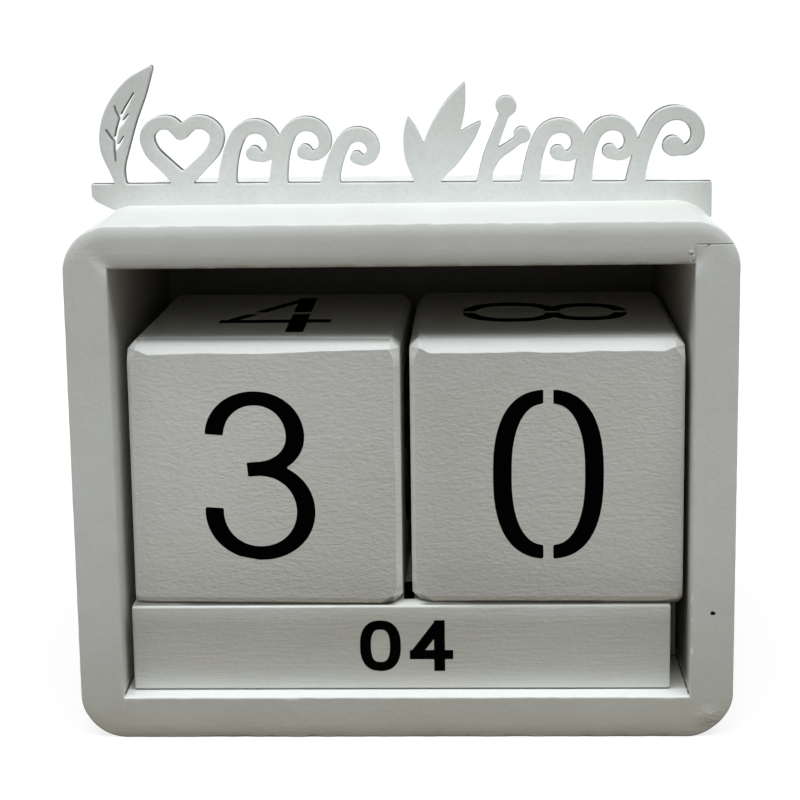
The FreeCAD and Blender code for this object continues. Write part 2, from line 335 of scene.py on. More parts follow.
# --------------------------------------------------------------------------------------------
# Node materials
# --------------------------------------------------------------------------------------------
class Mat:
    def __init__(self, name):
        self.m = bpy.data.materials.new(name)
        self.m.use_nodes = True
        self.t = self.m.node_tree
        self.t.nodes.clear()
        self.out = self.t.nodes.new("ShaderNodeOutputMaterial")
        self.tc = self.t.nodes.new("ShaderNodeTexCoord")
        self.obj = self.tc.outputs["Object"]
        self._xyz = None

    def put(self, sock, v):
        if isinstance(v, bpy.types.NodeSocket):
            self.t.links.new(v, sock)
        elif v is not None:
            sock.default_value = v

    def math(self, op, a, b=None, c=None, clamp=False):
        n = self.t.nodes.new("ShaderNodeMath")
        n.operation = op
        n.use_clamp = clamp
        for i, v in enumerate((a, b, c)):
            if v is not None:
                self.put(n.inputs[i], v)
        return n.outputs[0]

    def add(self, a, b): return self.math("ADD", a, b)
    def sub(self, a, b): return self.math("SUBTRACT", a, b)
    def mul(self, a, b): return self.math("MULTIPLY", a, b)
    def mx(self, a, b): return self.math("MAXIMUM", a, b)
    def mn(self, a, b): return self.math("MINIMUM", a, b)

    def scaled(self, x, y, z, shift=(0, 0, 0), vec=None):
        n = self.t.nodes.new("ShaderNodeMapping")
        n.inputs["Scale"].default_value = (x, y, z)
        n.inputs["Location"].default_value = shift
        self.put(n.inputs["Vector"], vec or self.obj)
        return n.outputs[0]

    def noise(self, vec, scale=1.0, detail=2.0, rough=0.5, distort=0.0):
        n = self.t.nodes.new("ShaderNodeTexNoise")
        self.put(n.inputs["Vector"], vec)
        n.inputs["Scale"].default_value = scale
        n.inputs["Detail"].default_value = detail
        n.inputs["Roughness"].default_value = rough
        n.inputs["Distortion"].default_value = distort
        return n.outputs["Fac"]

    def voronoi(self, vec, scale=1.0, feature="F1", out="Distance", rand=1.0):
        n = self.t.nodes.new("ShaderNodeTexVoronoi")
        n.feature = feature
        self.put(n.inputs["Vector"], vec)
        n.inputs["Scale"].default_value = scale
        n.inputs["Randomness"].default_value = rand
        return n.outputs[out]

    def step(self, v, lo, hi, a=0.0, b=1.0):
        n = self.t.nodes.new("ShaderNodeMapRange")
        n.interpolation_type = "SMOOTHSTEP"
        self.put(n.inputs["Value"], v)
        n.inputs["From Min"].default_value = lo
        n.inputs["From Max"].default_value = hi
        n.inputs["To Min"].default_value = a
        n.inputs["To Max"].default_value = b
        return n.outputs["Result"]

    @property
    def xyz(self):
        if self._xyz is None:
            n = self.t.nodes.new("ShaderNodeSeparateXYZ")
            self.put(n.inputs[0], self.obj)
            self._xyz = n.outputs
        return self._xyz

    @property
    def nrm(self):
        if not hasattr(self, "_nrm"):
            n = self.t.nodes.new("ShaderNodeSeparateXYZ")
            self.put(n.inputs[0], self.tc.outputs["Normal"])
            self._nrm = n.outputs
        return self._nrm

    def near(self, v, at, width, soft=None):
        """1 where v is within width of at, falling to 0 over soft, all in metres."""
        soft = soft or width
        d = self.math("ABSOLUTE", self.sub(v, at))
        return self.step(d, width, width + soft, 1.0, 0.0)

    def spot(self, p, r, soft):
        """1 inside the ellipsoid at p (mm) with radii r (mm)."""
        n = self.t.nodes.new("ShaderNodeMapping")
        n.vector_type = "TEXTURE"
        n.inputs["Location"].default_value = [a * MM for a in p]
        n.inputs["Scale"].default_value = [a * MM for a in r]
        self.put(n.inputs["Vector"], self.obj)
        d = self.t.nodes.new("ShaderNodeVectorMath")
        d.operation = "LENGTH"
        self.put(d.inputs[0], n.outputs[0])
        return self.step(d.outputs["Value"], 1.0 - soft, 1.0, 1.0, 0.0)

    def colour(self, fac, a, b):
        n = self.t.nodes.new("ShaderNodeMix")
        n.data_type = "RGBA"
        n.clamp_factor = True
        self.put(n.inputs["Factor"], fac)
        self.put(n.inputs[6], a if isinstance(a, bpy.types.NodeSocket) else (*a, 1.0))
        self.put(n.inputs[7], b if isinstance(b, bpy.types.NodeSocket) else (*b, 1.0))
        return n.outputs[2]

    def tint(self, a, b):
        n = self.t.nodes.new("ShaderNodeMix")
        n.data_type = "RGBA"
        n.blend_type = "MULTIPLY"
        n.inputs["Factor"].default_value = 1.0
        self.put(n.inputs[6], a)
        self.put(n.inputs[7], b)
        return n.outputs[2]

    def ramp(self, v, stops):
        """Colours at places given in mm along v, which is in metres."""
        lo, hi = stops[0][0] * MM, stops[-1][0] * MM
        m = self.t.nodes.new("ShaderNodeMapRange")
        self.put(m.inputs["Value"], v)
        m.inputs["From Min"].default_value = lo
        m.inputs["From Max"].default_value = hi
        r = self.t.nodes.new("ShaderNodeValToRGB")
        self.put(r.inputs[0], m.outputs["Result"])
        e = r.color_ramp.elements
        e[0].position, e[0].color = 0.0, (*stops[0][1], 1.0)
        e[1].position, e[1].color = 1.0, (*stops[-1][1], 1.0)
        for at, c in stops[1:-1]:
            e.new((at * MM - lo) / (hi - lo)).color = (*c, 1.0)
        return r.outputs[0]

    def bump(self, height, distance, strength=1.0, normal=None):
        n = self.t.nodes.new("ShaderNodeBump")
        if strength < 0:
            n.invert, strength = True, -strength
        n.inputs["Strength"].default_value = strength
        n.inputs["Distance"].default_value = distance
        self.put(n.inputs["Height"], height)
        if normal is not None:
            self.put(n.inputs["Normal"], normal)
        return n.outputs[0]

    def finish(self, color, rough, normal=None, **plain):
        b = self.t.nodes.new("ShaderNodeBsdfPrincipled")
        if isinstance(color, tuple):
            color = (*color, 1.0)
        self.put(b.inputs["Base Color"], color)
        self.put(b.inputs["Roughness"], rough)
        if normal is not None:
            self.put(b.inputs["Normal"], normal)
        for k, v in plain.items():
            b.inputs[k].default_value = v
        self.put(self.out.inputs["Surface"], b.outputs[0])
        return self.m


WHITE = (0.802, 0.808, 0.800)
DINGY = (0.768, 0.770, 0.752)
PALE = (0.860, 0.868, 0.855)

# painted shade: boards and cubes darken and warm toward the base, standing in for the dimmer, warmer light low on the
# box
BOARD_BASE_SHADE = [(0, (0.70, 0.672, 0.60)), (4.6, (0.785, 0.768, 0.712)), (9.7, (0.82, 0.812, 0.775)), (14.3, (0.85, 0.845, 0.82)),
              (19, (0.885, 0.88, 0.862)), (23.5, (0.91, 0.91, 0.895)), (33, (0.95, 0.95, 0.942)), (46, (1, 1, 1)), (98, (1, 1, 1))]
CUBE_BASE_SHADE = [(24, (0.71, 0.70, 0.67)), (29, (0.78, 0.77, 0.745)), (33, (0.85, 0.843, 0.82)), (41, (0.90, 0.895, 0.88)),
             (49, (0.93, 0.928, 0.915)), (64, (0.97, 0.97, 0.962)), (72, (1.0, 1.0, 1.0)), (76, (1, 1, 1))]
# the bars: painted shade darkens the middle of the front and a painted highlight lightens its top edge; lighter at the
# bottom too
BAR_SHADE_AND_HIGHLIGHT = [(8, (0.88, 0.875, 0.865)), (9.4, (0.85, 0.845, 0.83)), (12.2, (0.76, 0.752, 0.72)), (21.0, (0.745, 0.735, 0.70)),
            (22.0, (0.79, 0.785, 0.76)), (23.4, (0.89, 0.888, 0.87)), (24.2, (0.93, 0.93, 0.92)), (24.6, (0.93, 0.93, 0.92))]
# the cubes are darker toward the middle of the box, where they meet
CUBE_ACROSS = [(-52, (1, 1, 1)), (-36, (1, 1, 1)), (-8, (0.925, 0.923, 0.915)), (0, (0.905, 0.903, 0.895)), (8, (0.88, 0.878, 0.87)),
               (30, (0.90, 0.90, 0.89)), (48, (0.935, 0.933, 0.925)), (53, (0.935, 0.933, 0.925))]


def board_material(name="paint_board"):
    k = Mat(name)
    x, y, z = k.xyz[0], k.xyz[1], k.xyz[2]
    cloud = k.noise(k.obj, 45.0, 3.0, 0.55)
    grain = k.noise(k.obj, 1100.0, 2.0, 0.6)
    peel = k.noise(k.scaled(900.0, 900.0, 1500.0), 1.0, 2.0, 0.55)
    col = k.colour(k.step(cloud, 0.36, 0.66), WHITE, DINGY)
    # painted shade: the boards darken toward the base
    col = k.tint(col, k.ramp(z, BOARD_BASE_SHADE))
    ax = k.math("ABSOLUTE", x)
    # inside the box the paint is darkened with depth: painted shade in the recess
    inside = k.mul(k.mul(k.step(ax, 0.0532, 0.0535, 1.0, 0.0), k.step(z, 0.0895, 0.0898, 1.0, 0.0)), k.step(z, 0.0077, 0.0079))
    inside = k.mul(inside, k.step(y, 0.0380, 0.0388, 1.0, 0.0))
    recess_shade = k.mul(inside, k.step(y, -0.0385, -0.030))
    col = k.colour(recess_shade, col, k.tint(col, k.ramp(y, [(-39.5, (0.95, 0.95, 0.94)), (-33, (0.91, 0.905, 0.88)), (-20, (0.79, 0.785, 0.755)),
                                                 (0, (0.68, 0.675, 0.64)), (25, (0.52, 0.51, 0.485)), (40, (0.43, 0.425, 0.40))])))
    # painted shadow of the right cube on the right inner wall, below the cube's top
    right_wall_cube_shadow = k.mul(k.mul(inside, k.step(x, 0.0520, 0.0528)), k.step(z, 0.066, 0.076, 1.0, 0.0))
    right_wall_cube_shadow = k.mul(k.mul(right_wall_cube_shadow, k.step(z, 0.0084, 0.0100)), k.step(y, -0.0388, -0.0375))
    col = k.colour(right_wall_cube_shadow, col, k.tint(col, k.ramp(y, [(-39.5, (1, 1, 1)), (-37, (0.86, 0.855, 0.84)), (-34, (0.52, 0.515, 0.50)),
                                                       (-29, (0.36, 0.355, 0.34)), (40, (0.34, 0.33, 0.31))])))
    crack = k.mul(k.mul(k.step(ax, 0.05262, 0.05285), k.step(ax, 0.0531, 0.0532, 1.0, 0.0)), k.near(z, 0.008, 0.00015, 0.00025))
    crack = k.mul(crack, k.mul(k.step(y, -0.0386, -0.0378), k.step(k.noise(k.obj, 350.0, 2.0, 0.6), 0.28, 0.46)))
    col = k.colour(k.mul(crack, 0.90), col, (0.050, 0.046, 0.038))
    # joints of the front: filler and a little dirt in the hairlines
    front = k.step(y, -0.0372, -0.0366, 1.0, 0.0)
    corner = k.mx(k.step(z, 0.0892, 0.0894), k.step(z, 0.0080, 0.0082, 1.0, 0.0))
    top_j = k.mul(k.near(z, 0.09305, 0.00003, 0.00013), k.step(ax, 0.0530, 0.0531))
    side_j = k.mul(k.near(ax, 0.0530, 0.00003, 0.00012), k.mul(k.step(z, 0.0894, 0.0895), k.step(z, 0.0931, 0.0932, 1.0, 0.0)))
    low_j = k.mul(k.near(z, 0.0042, 0.00003, 0.00010), k.step(ax, 0.0530, 0.0531))
    broken = k.step(k.noise(k.obj, 420.0, 2.0, 0.6), 0.40, 0.60)
    right_up = k.step(x, 0.02, 0.03)
    seam = k.mx(k.mul(top_j, k.mx(k.mul(right_up, k.step(broken, 0.0, 1.0, 0.22, 0.55)), k.mul(broken, 0.12))), k.mul(side_j, k.mul(broken, 0.16)))
    seam = k.mul(k.mx(seam, k.mul(low_j, k.mul(broken, 0.08))), front)
    pits = k.mx(k.spot((55.3, -39.3, 92.95), (0.34, 1.2, 0.20), 0.6), k.mx(k.spot((54.9, -39.3, 92.7), (0.26, 1.2, 0.12), 0.6),
                k.spot((52.6, -39.3, 89.9), (0.20, 1.2, 0.12), 0.6)))
    marks = k.mx(k.spot((-55.9, -39.3, 92.0), (0.9, 1.2, 0.10), 0.7), k.spot((-55.0, -39.3, 91.3), (0.5, 1.2, 0.10), 0.7))
    filler = k.mx(k.spot((52.2, -39.3, 91.6), (0.55, 1.2, 0.45), 0.5), k.spot((52.7, -39.3, 90.6), (0.35, 1.2, 0.8), 0.6))
    scuff = k.step(k.noise(k.scaled(700.0, 700.0, 260.0, (0.3, 0, 0)), 1.0, 2.0, 0.6), 0.68, 0.76)
    chip = k.step(k.noise(k.scaled(900.0, 900.0, 520.0, (0.7, 0, 0)), 1.0, 2.0, 0.6), 0.57, 0.63)
    chip = k.mul(chip, k.mul(k.step(x, 0.02, 0.03), k.mul(k.step(z, 0.0385, 0.042, 1.0, 0.0), k.step(z, 0.011, 0.013))))
    scuff = k.mx(scuff, chip)
    rim = k.mul(k.mul(k.near(ax, 0.0531, 0.0002, 0.0003), k.step(y, -0.0389, -0.0385, 1.0, 0.0)), k.sub(1.0, corner))
    col = k.colour(k.mul(seam, 0.85), col, (0.20, 0.195, 0.18))
    col = k.colour(k.mul(pits, 0.80), col, (0.10, 0.095, 0.085))
    col = k.colour(k.mul(marks, 0.35), col, (0.30, 0.29, 0.27))
    col = k.colour(k.mul(k.mul(rim, scuff), 0.8), col, (0.93, 0.93, 0.92))
    # painted shade: the pin hole's walls and floor are painted near black
    col = k.colour(k.spot((57.0, -38.6, 24.1), (0.50, 2.0, 0.50), 0.10), col, (0.006, 0.006, 0.005))
    foot = k.mul(front, k.step(z, 0.0006, 0.0016, 1.0, 0.0))
    col = k.colour(k.mul(foot, 0.30), col, (0.24, 0.22, 0.18))
    lip = k.mul(k.mul(k.near(z, 0.008, 0.0002, 0.0002), k.step(ax, 0.0525, 0.0529, 1.0, 0.0)), k.step(y, -0.0360, -0.0350, 1.0, 0.0))
    col = k.colour(lip, col, (0.785, 0.80, 0.80))
    h = k.add(k.mul(peel, 0.6), k.mul(grain, 0.4))
    n = k.bump(h, 0.00007, 0.8)
    n = k.bump(k.noise(k.obj, 170.0, 2.0, 0.5), 0.00022, 0.35, n)
    n = k.bump(k.mul(filler, front), 0.00022, 0.7, n)
    n = k.bump(k.mul(k.mx(pits, seam), front), 0.00020, -0.7, n)
    crumple = k.mul(k.spot((56.3, -39.3, 4.2), (3.6, 1.6, 2.6), 0.95), k.noise(k.scaled(600.0, 600.0, 1300.0), 1.0, 3.0, 0.65))
    n = k.bump(k.mul(crumple, front), 0.00050, 0.6, n)
    rough = k.step(cloud, 0.3, 0.7, 0.44, 0.56)
    return k.finish(col, rough, n, **{"IOR": 1.45})


def cube_material(name, shift, base):
    k = Mat(name)
    x, z = k.xyz[0], k.xyz[2]
    cloud = k.noise(k.scaled(1.0, 1.0, 1.0, shift), 50.0, 3.0, 0.6)
    peel = k.noise(k.scaled(1000.0, 1000.0, 1900.0, shift), 1.0, 2.5, 0.60)
    dimple = k.voronoi(k.scaled(620.0, 620.0, 950.0, shift), 1.0, "SMOOTH_F1")
    fine = k.noise(k.scaled(2600.0, 2600.0, 2600.0, shift), 1.0, 1.0, 0.5)
    col = k.colour(k.step(cloud, 0.36, 0.68), tuple(v * base for v in WHITE), tuple(v * base for v in DINGY))
    # painted shade: the cubes darken toward the base, and are also darker toward the middle of the box
    col = k.tint(k.tint(col, k.ramp(z, CUBE_BASE_SHADE)), k.ramp(x, CUBE_ACROSS))
    ny, nz = k.nrm[1], k.nrm[2]
    # painted highlight: the upper front bevel is lightened to near white
    bevel = k.mul(k.mul(k.step(nz, 0.30, 0.55), k.step(nz, 0.93, 0.985, 1.0, 0.0)), k.step(ny, -0.25, -0.10, 1.0, 0.0))
    col = k.colour(bevel, col, (0.955, 0.965, 0.965) if name.endswith("left") else (0.995, 1.0, 1.0))
    # painted shadow of the top board: the top of the upper front bevel is darkened toward the top face
    far = (0.36, 0.36, 0.345) if name.endswith("left") else (0.58, 0.585, 0.575)
    near = 73.9 if name.endswith("left") else 74.15
    col = k.colour(bevel, col, k.tint(col, k.ramp(z, [(72, (1, 1, 1)), (near, (1, 1, 1)), (near + 0.5, (0.92, 0.92, 0.915)), (75.05, far), (75.3, far)])))
    under = k.mul(k.step(z, 0.02505, 0.02565, 1.0, 0.0), k.step(k.math("ABSOLUTE", ny), 0.35, 0.6))
    col = k.colour(k.mul(under, 0.10), col, (0.42, 0.36, 0.26))
    band = k.mul(k.step(k.add(z, k.mul(k.sub(cloud, 0.5), 0.0005)), 0.02572, 0.02602, 1.0, 0.0), k.step(ny, -0.6, -0.3, 1.0, 0.0))
    col = k.colour(k.mul(band, 0.85), col, (0.44, 0.405, 0.345))
    # painted highlight: the front upright bevels are lightened
    upright = k.mul(k.step(k.math("ABSOLUTE", k.nrm[0]), 0.22, 0.45), k.step(k.math("ABSOLUTE", k.nrm[0]), 0.93, 0.985, 1.0, 0.0))
    upright = k.mul(k.mul(upright, k.step(ny, -0.40, -0.20, 1.0, 0.0)), k.step(z, 0.0255, 0.0265))
    col = k.colour(k.mul(upright, 0.70), col, (0.97, 0.975, 0.965))
    fleck = k.step(k.noise(k.scaled(800.0, 800.0, 800.0, shift), 1.0, 3.0, 0.7), 0.73, 0.80)
    col = k.colour(k.mul(fleck, 0.30), col, (0.33, 0.32, 0.29))
    if name.endswith("left"):
        dent = k.mx(k.spot((-2.6, -34.3, 27.9), (0.75, 1.0, 0.30), 0.6), k.spot((-2.0, -34.3, 28.5), (0.35, 1.0, 0.30), 0.6))
        nick = k.mx(k.spot((-30.9, -34.6, 28.6), (0.45, 1.0, 0.14), 0.6), k.spot((-33.8, -34.6, 48.9), (0.40, 1.0, 0.12), 0.6))
        col = k.colour(k.mul(k.mx(dent, nick), 0.35), col, (0.30, 0.29, 0.26))
        n = k.bump(k.mx(dent, nick), 0.00030, -0.8)
        n = k.bump(peel, 0.00013, 0.85, n)
    else:
        n = k.bump(peel, 0.00013, 0.85)
    n = k.bump(dimple, 0.00009, 0.5, n)
    n = k.bump(fine, 0.00003, 0.5, n)
    rough = k.step(cloud, 0.3, 0.7, 0.44, 0.58)
    return k.finish(col, rough, n, **{"IOR": 1.45})


def bar_material(name, shift):
    k = Mat(name)
    x, y, z = k.xyz[0], k.xyz[1], k.xyz[2]
    cloud = k.noise(k.scaled(40.0, 90.0, 90.0, shift), 1.0, 3.0, 0.6)
    streak = k.noise(k.scaled(170.0, 1700.0, 1700.0, shift), 1.0, 3.0, 0.6)
    peel = k.noise(k.scaled(1000.0, 1500.0, 1500.0, shift), 1.0, 2.0, 0.6)
    stain = k.noise(k.scaled(95.0, 150.0, 190.0, (shift[0] + 0.4, 0, 0)), 1.0, 3.0, 0.6)
    col = k.colour(k.step(cloud, 0.36, 0.68), WHITE, (0.755, 0.75, 0.715))
    # painted shade and painted highlight along the bar's height
    col = k.tint(col, k.ramp(z, BAR_SHADE_AND_HIGHLIGHT))
    col = k.colour(k.mul(k.step(stain, 0.54, 0.70), 0.22), col, (0.66, 0.58, 0.50))
    col = k.colour(k.mul(k.step(streak, 0.58, 0.74), 0.16), col, (0.45, 0.43, 0.39))
    # painted contact shadow along the bar's bottom front edge
    lower = k.mul(k.step(z, 0.00825, 0.00850, 1.0, 0.0), k.step(y, BAR_FRONT[name] + 0.0006, BAR_FRONT[name] + 0.0012, 1.0, 0.0))
    col = k.colour(k.mul(lower, 0.75), col, (0.10, 0.09, 0.075))
    front = BAR_FRONT[name]
    # painted shadow of the cubes on the bar's top, left light in the gap between the cubes
    cube_shadow_on_bar = k.mul(k.step(k.nrm[2], 0.80, 0.97), k.mul(k.step(y, front + 0.00028, front + 0.00062), k.step(y, front + 0.0017, front + 0.0027, 1.0, 0.0)))
    cube_shadow_on_bar = k.mul(cube_shadow_on_bar, k.sub(1.0, k.near(x, 0.0007, 0.0014, 0.0026)))
    cube_shadow_on_bar = k.mul(cube_shadow_on_bar, k.step(k.noise(k.scaled(90.0, 300.0, 300.0, shift), 1.0, 2.0, 0.6), 0.25, 0.60, 0.66, 0.84))
    if name.endswith("front"):
        # painted shade: the right part of the front bar's top edge is darkened, taking away its highlight
        lip = k.mul(k.mul(k.step(k.nrm[2], 0.22, 0.45), k.step(z, 0.0238, 0.0241)), k.step(x, 0.002, 0.016))
        col = k.colour(k.mul(lip, 0.62), col, (0.30, 0.295, 0.275))
        col = k.colour(cube_shadow_on_bar, col, (0.020, 0.019, 0.016))
    n = k.bump(streak, 0.00009, 0.8)
    n = k.bump(peel, 0.00007, 0.7, n)
    rough = k.step(cloud, 0.3, 0.7, 0.44, 0.58)
    return k.finish(col, rough, n, **{"IOR": 1.45})


BAR_FRONT = {f"paint_bar_{n}": (Y0 + v[1]) * MM for n, v in BARS.items()}


def crest_material():
    k = Mat("paint_crest")
    x, y, z = k.xyz[0], k.xyz[1], k.xyz[2]
    nx, ny, nz = k.nrm[0], k.nrm[1], k.nrm[2]
    cloud = k.noise(k.obj, 90.0, 3.0, 0.6)
    fine = k.noise(k.obj, 1500.0, 2.0, 0.6)
    speck = k.noise(k.scaled(1500.0, 800.0, 1500.0), 1.0, 2.0, 0.6)
    col = k.colour(k.step(cloud, 0.36, 0.66), (0.835, 0.850, 0.842), (0.795, 0.808, 0.795))
    col = k.colour(k.mul(k.step(speck, 0.45, 0.70), 0.35), col, (0.70, 0.71, 0.695))
    # the saw cut: paint from the front runs a little way in, then the scorched ply shows
    side = k.step(k.math("ABSOLUTE", ny), 0.60, 0.80, 1.0, 0.0)
    wander = k.mul(k.sub(k.noise(k.scaled(260.0, 10.0, 260.0), 1.0, 2.0, 0.5), 0.5), 0.0012)
    edge = k.step(k.sub(y, wander), -0.00985, -0.00945)
    burnt = k.colour(k.step(fine, 0.35, 0.70), (0.018, 0.013, 0.009), (0.060, 0.042, 0.028))
    col = k.colour(k.mul(side, edge), col, burnt)
    n = k.bump(fine, 0.00006, 0.6)
    n = k.bump(speck, 0.00006, 0.6, n)
    rough = k.step(cloud, 0.3, 0.7, 0.50, 0.62)
    return k.finish(col, rough, n, **{"IOR": 1.42})


def numeral_material():
    k = Mat("numeral_black")
    fleck = k.noise(k.obj, 1100.0, 2.0, 0.6)
    patch = k.noise(k.obj, 120.0, 2.0, 0.5)
    col = k.colour(k.step(fleck, 0.66, 0.82), (0.0008, 0.0008, 0.0008), (0.008, 0.008, 0.008))
    n = k.bump(fleck, 0.00003, 0.4)
    rough = k.step(patch, 0.3, 0.7, 0.80, 0.94)
    return k.finish(col, rough, n, **{"IOR": 1.08})


def brad_material():
    k = Mat("brad_steel_worn")
    s = k.noise(k.obj, 1500.0, 2.0, 0.5)
    col = k.colour(k.step(s, 0.4, 0.7), (0.42, 0.41, 0.40), (0.25, 0.21, 0.18))
    rough = k.step(s, 0.3, 0.7, 0.35, 0.6)
    return k.finish(col, rough, k.bump(s, 0.00002, 0.5), **{"Metallic": 1.0})


def dress(ob, mat):
    if len(ob.data.materials):
        for i in range(len(ob.data.materials)):
            ob.data.materials[i] = mat
    else:
        ob.data.materials.append(mat)
    return ob


# --------------------------------------------------------------------------------------------
# Boards: one sanded front runs across all four, so its form is one function of x and z
# --------------------------------------------------------------------------------------------
HW = 61.0
INNER = HW - BOARD
CORNER_R = 8.5
RIM = 0.32
SEAM_X = math.sqrt(CORNER_R ** 2 - (HEIGHT - LIP - (HEIGHT - CORNER_R)) ** 2) + HW - CORNER_R


def wave_noise(seed, scale):
    """Smooth noise of x and z in mm, about -1 to 1, made of a few dozen sine waves."""
    r = np.random.RandomState(seed)
    n = 26
    ang = r.uniform(0, 2 * math.pi, n)
    k = r.uniform(0.5, 1.6, n) * 2 * math.pi / scale
    ph = r.uniform(0, 2 * math.pi, n)

    def f(x, z):
        x, z = np.asarray(x, float), np.asarray(z, float)
        out = np.zeros(np.broadcast(x, z).shape)
        for a, q, p in zip(ang, k, ph):
            out = out + np.sin(q * (x * math.cos(a) + z * math.sin(a)) + p)
        return out / math.sqrt(n) * 0.75

    return f


wn_big, wn_mid, wn_rim, wn_chip = wave_noise(1, 26.0), wave_noise(2, 9.0), wave_noise(3, 5.0), wave_noise(4, 1.6)


def ease(t):
    t = np.clip(t, 0, 1)
    return t * t * (3 - 2 * t)


def d_outer(x, z):
    """Distance from the outer contour, positive inside."""
    qx = np.abs(x) - (HW - CORNER_R)
    qz = np.abs(z - HEIGHT / 2) - (HEIGHT / 2 - CORNER_R)
    out = np.hypot(np.maximum(qx, 0), np.maximum(qz, 0)) + np.minimum(np.maximum(qx, qz), 0) - CORNER_R
    return -out


def upness(x, z):
    """How far the nearest outer contour faces up (1), sideways (0) or down (-1)."""
    qx = np.maximum(np.abs(x) - (HW - CORNER_R), 0)
    qz = np.maximum(np.abs(z - HEIGHT / 2) - (HEIGHT / 2 - CORNER_R), 0)
    L = np.maximum(np.hypot(qx, qz), 1e-6)
    u = np.where(qz > 0, qz / L, 0.0)
    return u * np.sign(z - HEIGHT / 2)


def d_inner(x, z):
    """Distance from the mouth's edge, positive in the boards."""
    dx = np.abs(x) - INNER
    dz = np.abs(z - HEIGHT / 2) - (HEIGHT / 2 - BOARD)
    return np.hypot(np.maximum(dx, 0), np.maximum(dz, 0)) + np.minimum(np.maximum(dx, dz), 0)


def rim_drop(d, r):
    t = np.clip(r - d, 0, r)
    return r - np.sqrt(np.maximum(r * r - t * t, 0))


ROLL_D = np.array([0.0, 0.6, 1.1, 1.8, 2.4, 3.1, 4.6, 5.4, 6.1, 6.8, 7.5, 8.0])
ROLL_DEG = np.array([19.0, 15.5, 9.5, 4.5, 0.0, -2.0, -2.5, -4.5, -7.5, -10.5, -14.5, -18.0])
_d = np.linspace(0, 8, 321)
_slope = np.tan(np.radians(np.interp(_d, ROLL_D, ROLL_DEG)))
_roll = np.concatenate([[0], np.cumsum(-(_slope[1:] + _slope[:-1]) / 2 * np.diff(_d))])
_roll -= _roll.min()
_i0 = int(np.argmin(_roll))


def front_drop(x, z):
    """How far the sanded front lies behind the box's front plane, in mm."""
    x, z = np.asarray(x, float), np.asarray(z, float)
    do, di = d_outer(x, z), d_inner(x, z)
    up = upness(x, z)
    d = np.clip(do, 0, 8)
    roll = np.interp(d, _d, _roll)
    apex = _d[_i0]
    upper = np.where(d < apex, roll, 0.0) * ease((up - 0.05) / 0.75)
    across = ((np.abs(x) - INNER) - (z - (HEIGHT - BOARD))) / math.sqrt(2)
    top_part = ease((1.3 - across) / 2.6) * (z > HEIGHT / 2)
    dt = np.clip(HEIGHT - z, 0, 8)
    lower = np.where(dt > apex, np.interp(dt, _d, _roll), 0.0) * top_part
    foot = 0.12 * ease((2.6 - do) / 2.6) * ease((-up - 0.1) / 0.8)
    body = upper + lower + foot
    body = body + 0.030 * (1 + wn_big(x, z)) + 0.012 * (1 + wn_mid(x, z))
    r_out = RIM * (1 + 0.35 * wn_rim(x, z))
    r_in = 0.34 * (1 + 0.35 * wn_rim(x + 40, z)) + 0.10 * np.maximum(wn_chip(x, z) - 0.7, 0)
    return body + rim_drop(do, np.maximum(r_out, 0.12)) + rim_drop(di, np.maximum(r_in, 0.12))


def worn(x, z):
    """The lower right corner has been sanded flatter than the other three."""
    qx, qz = x - (HW - CORNER_R), CORNER_R - z
    a = np.arctan2(np.maximum(qz, 0), np.maximum(qx, 1e-9))
    cut = 0.26 * np.sin(2 * a) ** 2 * ease(1 - np.clip(d_outer(x, z), 0, 5.0) / 5.0)
    cut = np.where((qx > 0) & (qz > 0), cut, 0.0)
    return x - cut * np.cos(a), z + cut * np.sin(a)


def seam_depth(x, z):
    """The joints show as a hairline that filler and paint have partly closed."""
    a = 0.035 + 0.05 * np.maximum(wn_chip(x * 0.7, z * 0.7), 0)
    a = a * np.where((x > 0) & (z > HEIGHT / 2), 1.7, 0.55)
    return a


def contour_points():
    pts = []
    cx, z0, z1 = HW - CORNER_R, CORNER_R, HEIGHT - CORNER_R
    for k in range(int((z1 - z0) / 0.9) + 1):
        pts.append((HW, z0 + (z1 - z0) * k / int((z1 - z0) / 0.9)))
    for k in range(1, 25):
        t = math.radians(90 * k / 24)
        pts.append((cx + CORNER_R * math.cos(t), z1 + CORNER_R * math.sin(t)))
    n = int(2 * cx / 0.9)
    for k in range(1, n):
        pts.append((cx - 2 * cx * k / n, HEIGHT))
    return pts


def side_contour(z_from, z_to, sx):
    """The outer contour on one side between two heights, going up, as points."""
    zs = [z_from]
    step = 0.42
    z = z_from
    while z < z_to - step * 1.5:
        z += step if (z < CORNER_R + 0.5 or z > HEIGHT - CORNER_R - 0.5) else 0.9
        zs.append(min(z, z_to))
    if zs[-1] < z_to:
        zs.append(z_to)
    out = []
    for z in zs:
        if z < CORNER_R:
            dz = CORNER_R - z
        elif z > HEIGHT - CORNER_R:
            dz = z - (HEIGHT - CORNER_R)
        else:
            dz = 0.0
        out.append((sx * (HW - CORNER_R + math.sqrt(max(CORNER_R ** 2 - dz * dz, 0))), z))
    return out


def corner_arc(t0, t1, sx, top):
    out = []
    n = 22
    for k in range(n + 1):
        t = t0 + (t1 - t0) * k / n
        cz = HEIGHT - CORNER_R if top else CORNER_R
        out.append((sx * (HW - CORNER_R + CORNER_R * math.cos(t)), cz + (1 if top else -1) * CORNER_R * math.sin(t)))
    return out


def straight(p, q, step):
    n = max(1, int(round(math.hypot(q[0] - p[0], q[1] - p[1]) / step)))
    return [(p[0] + (q[0] - p[0]) * k / n, p[1] + (q[1] - p[1]) * k / n) for k in range(n)]


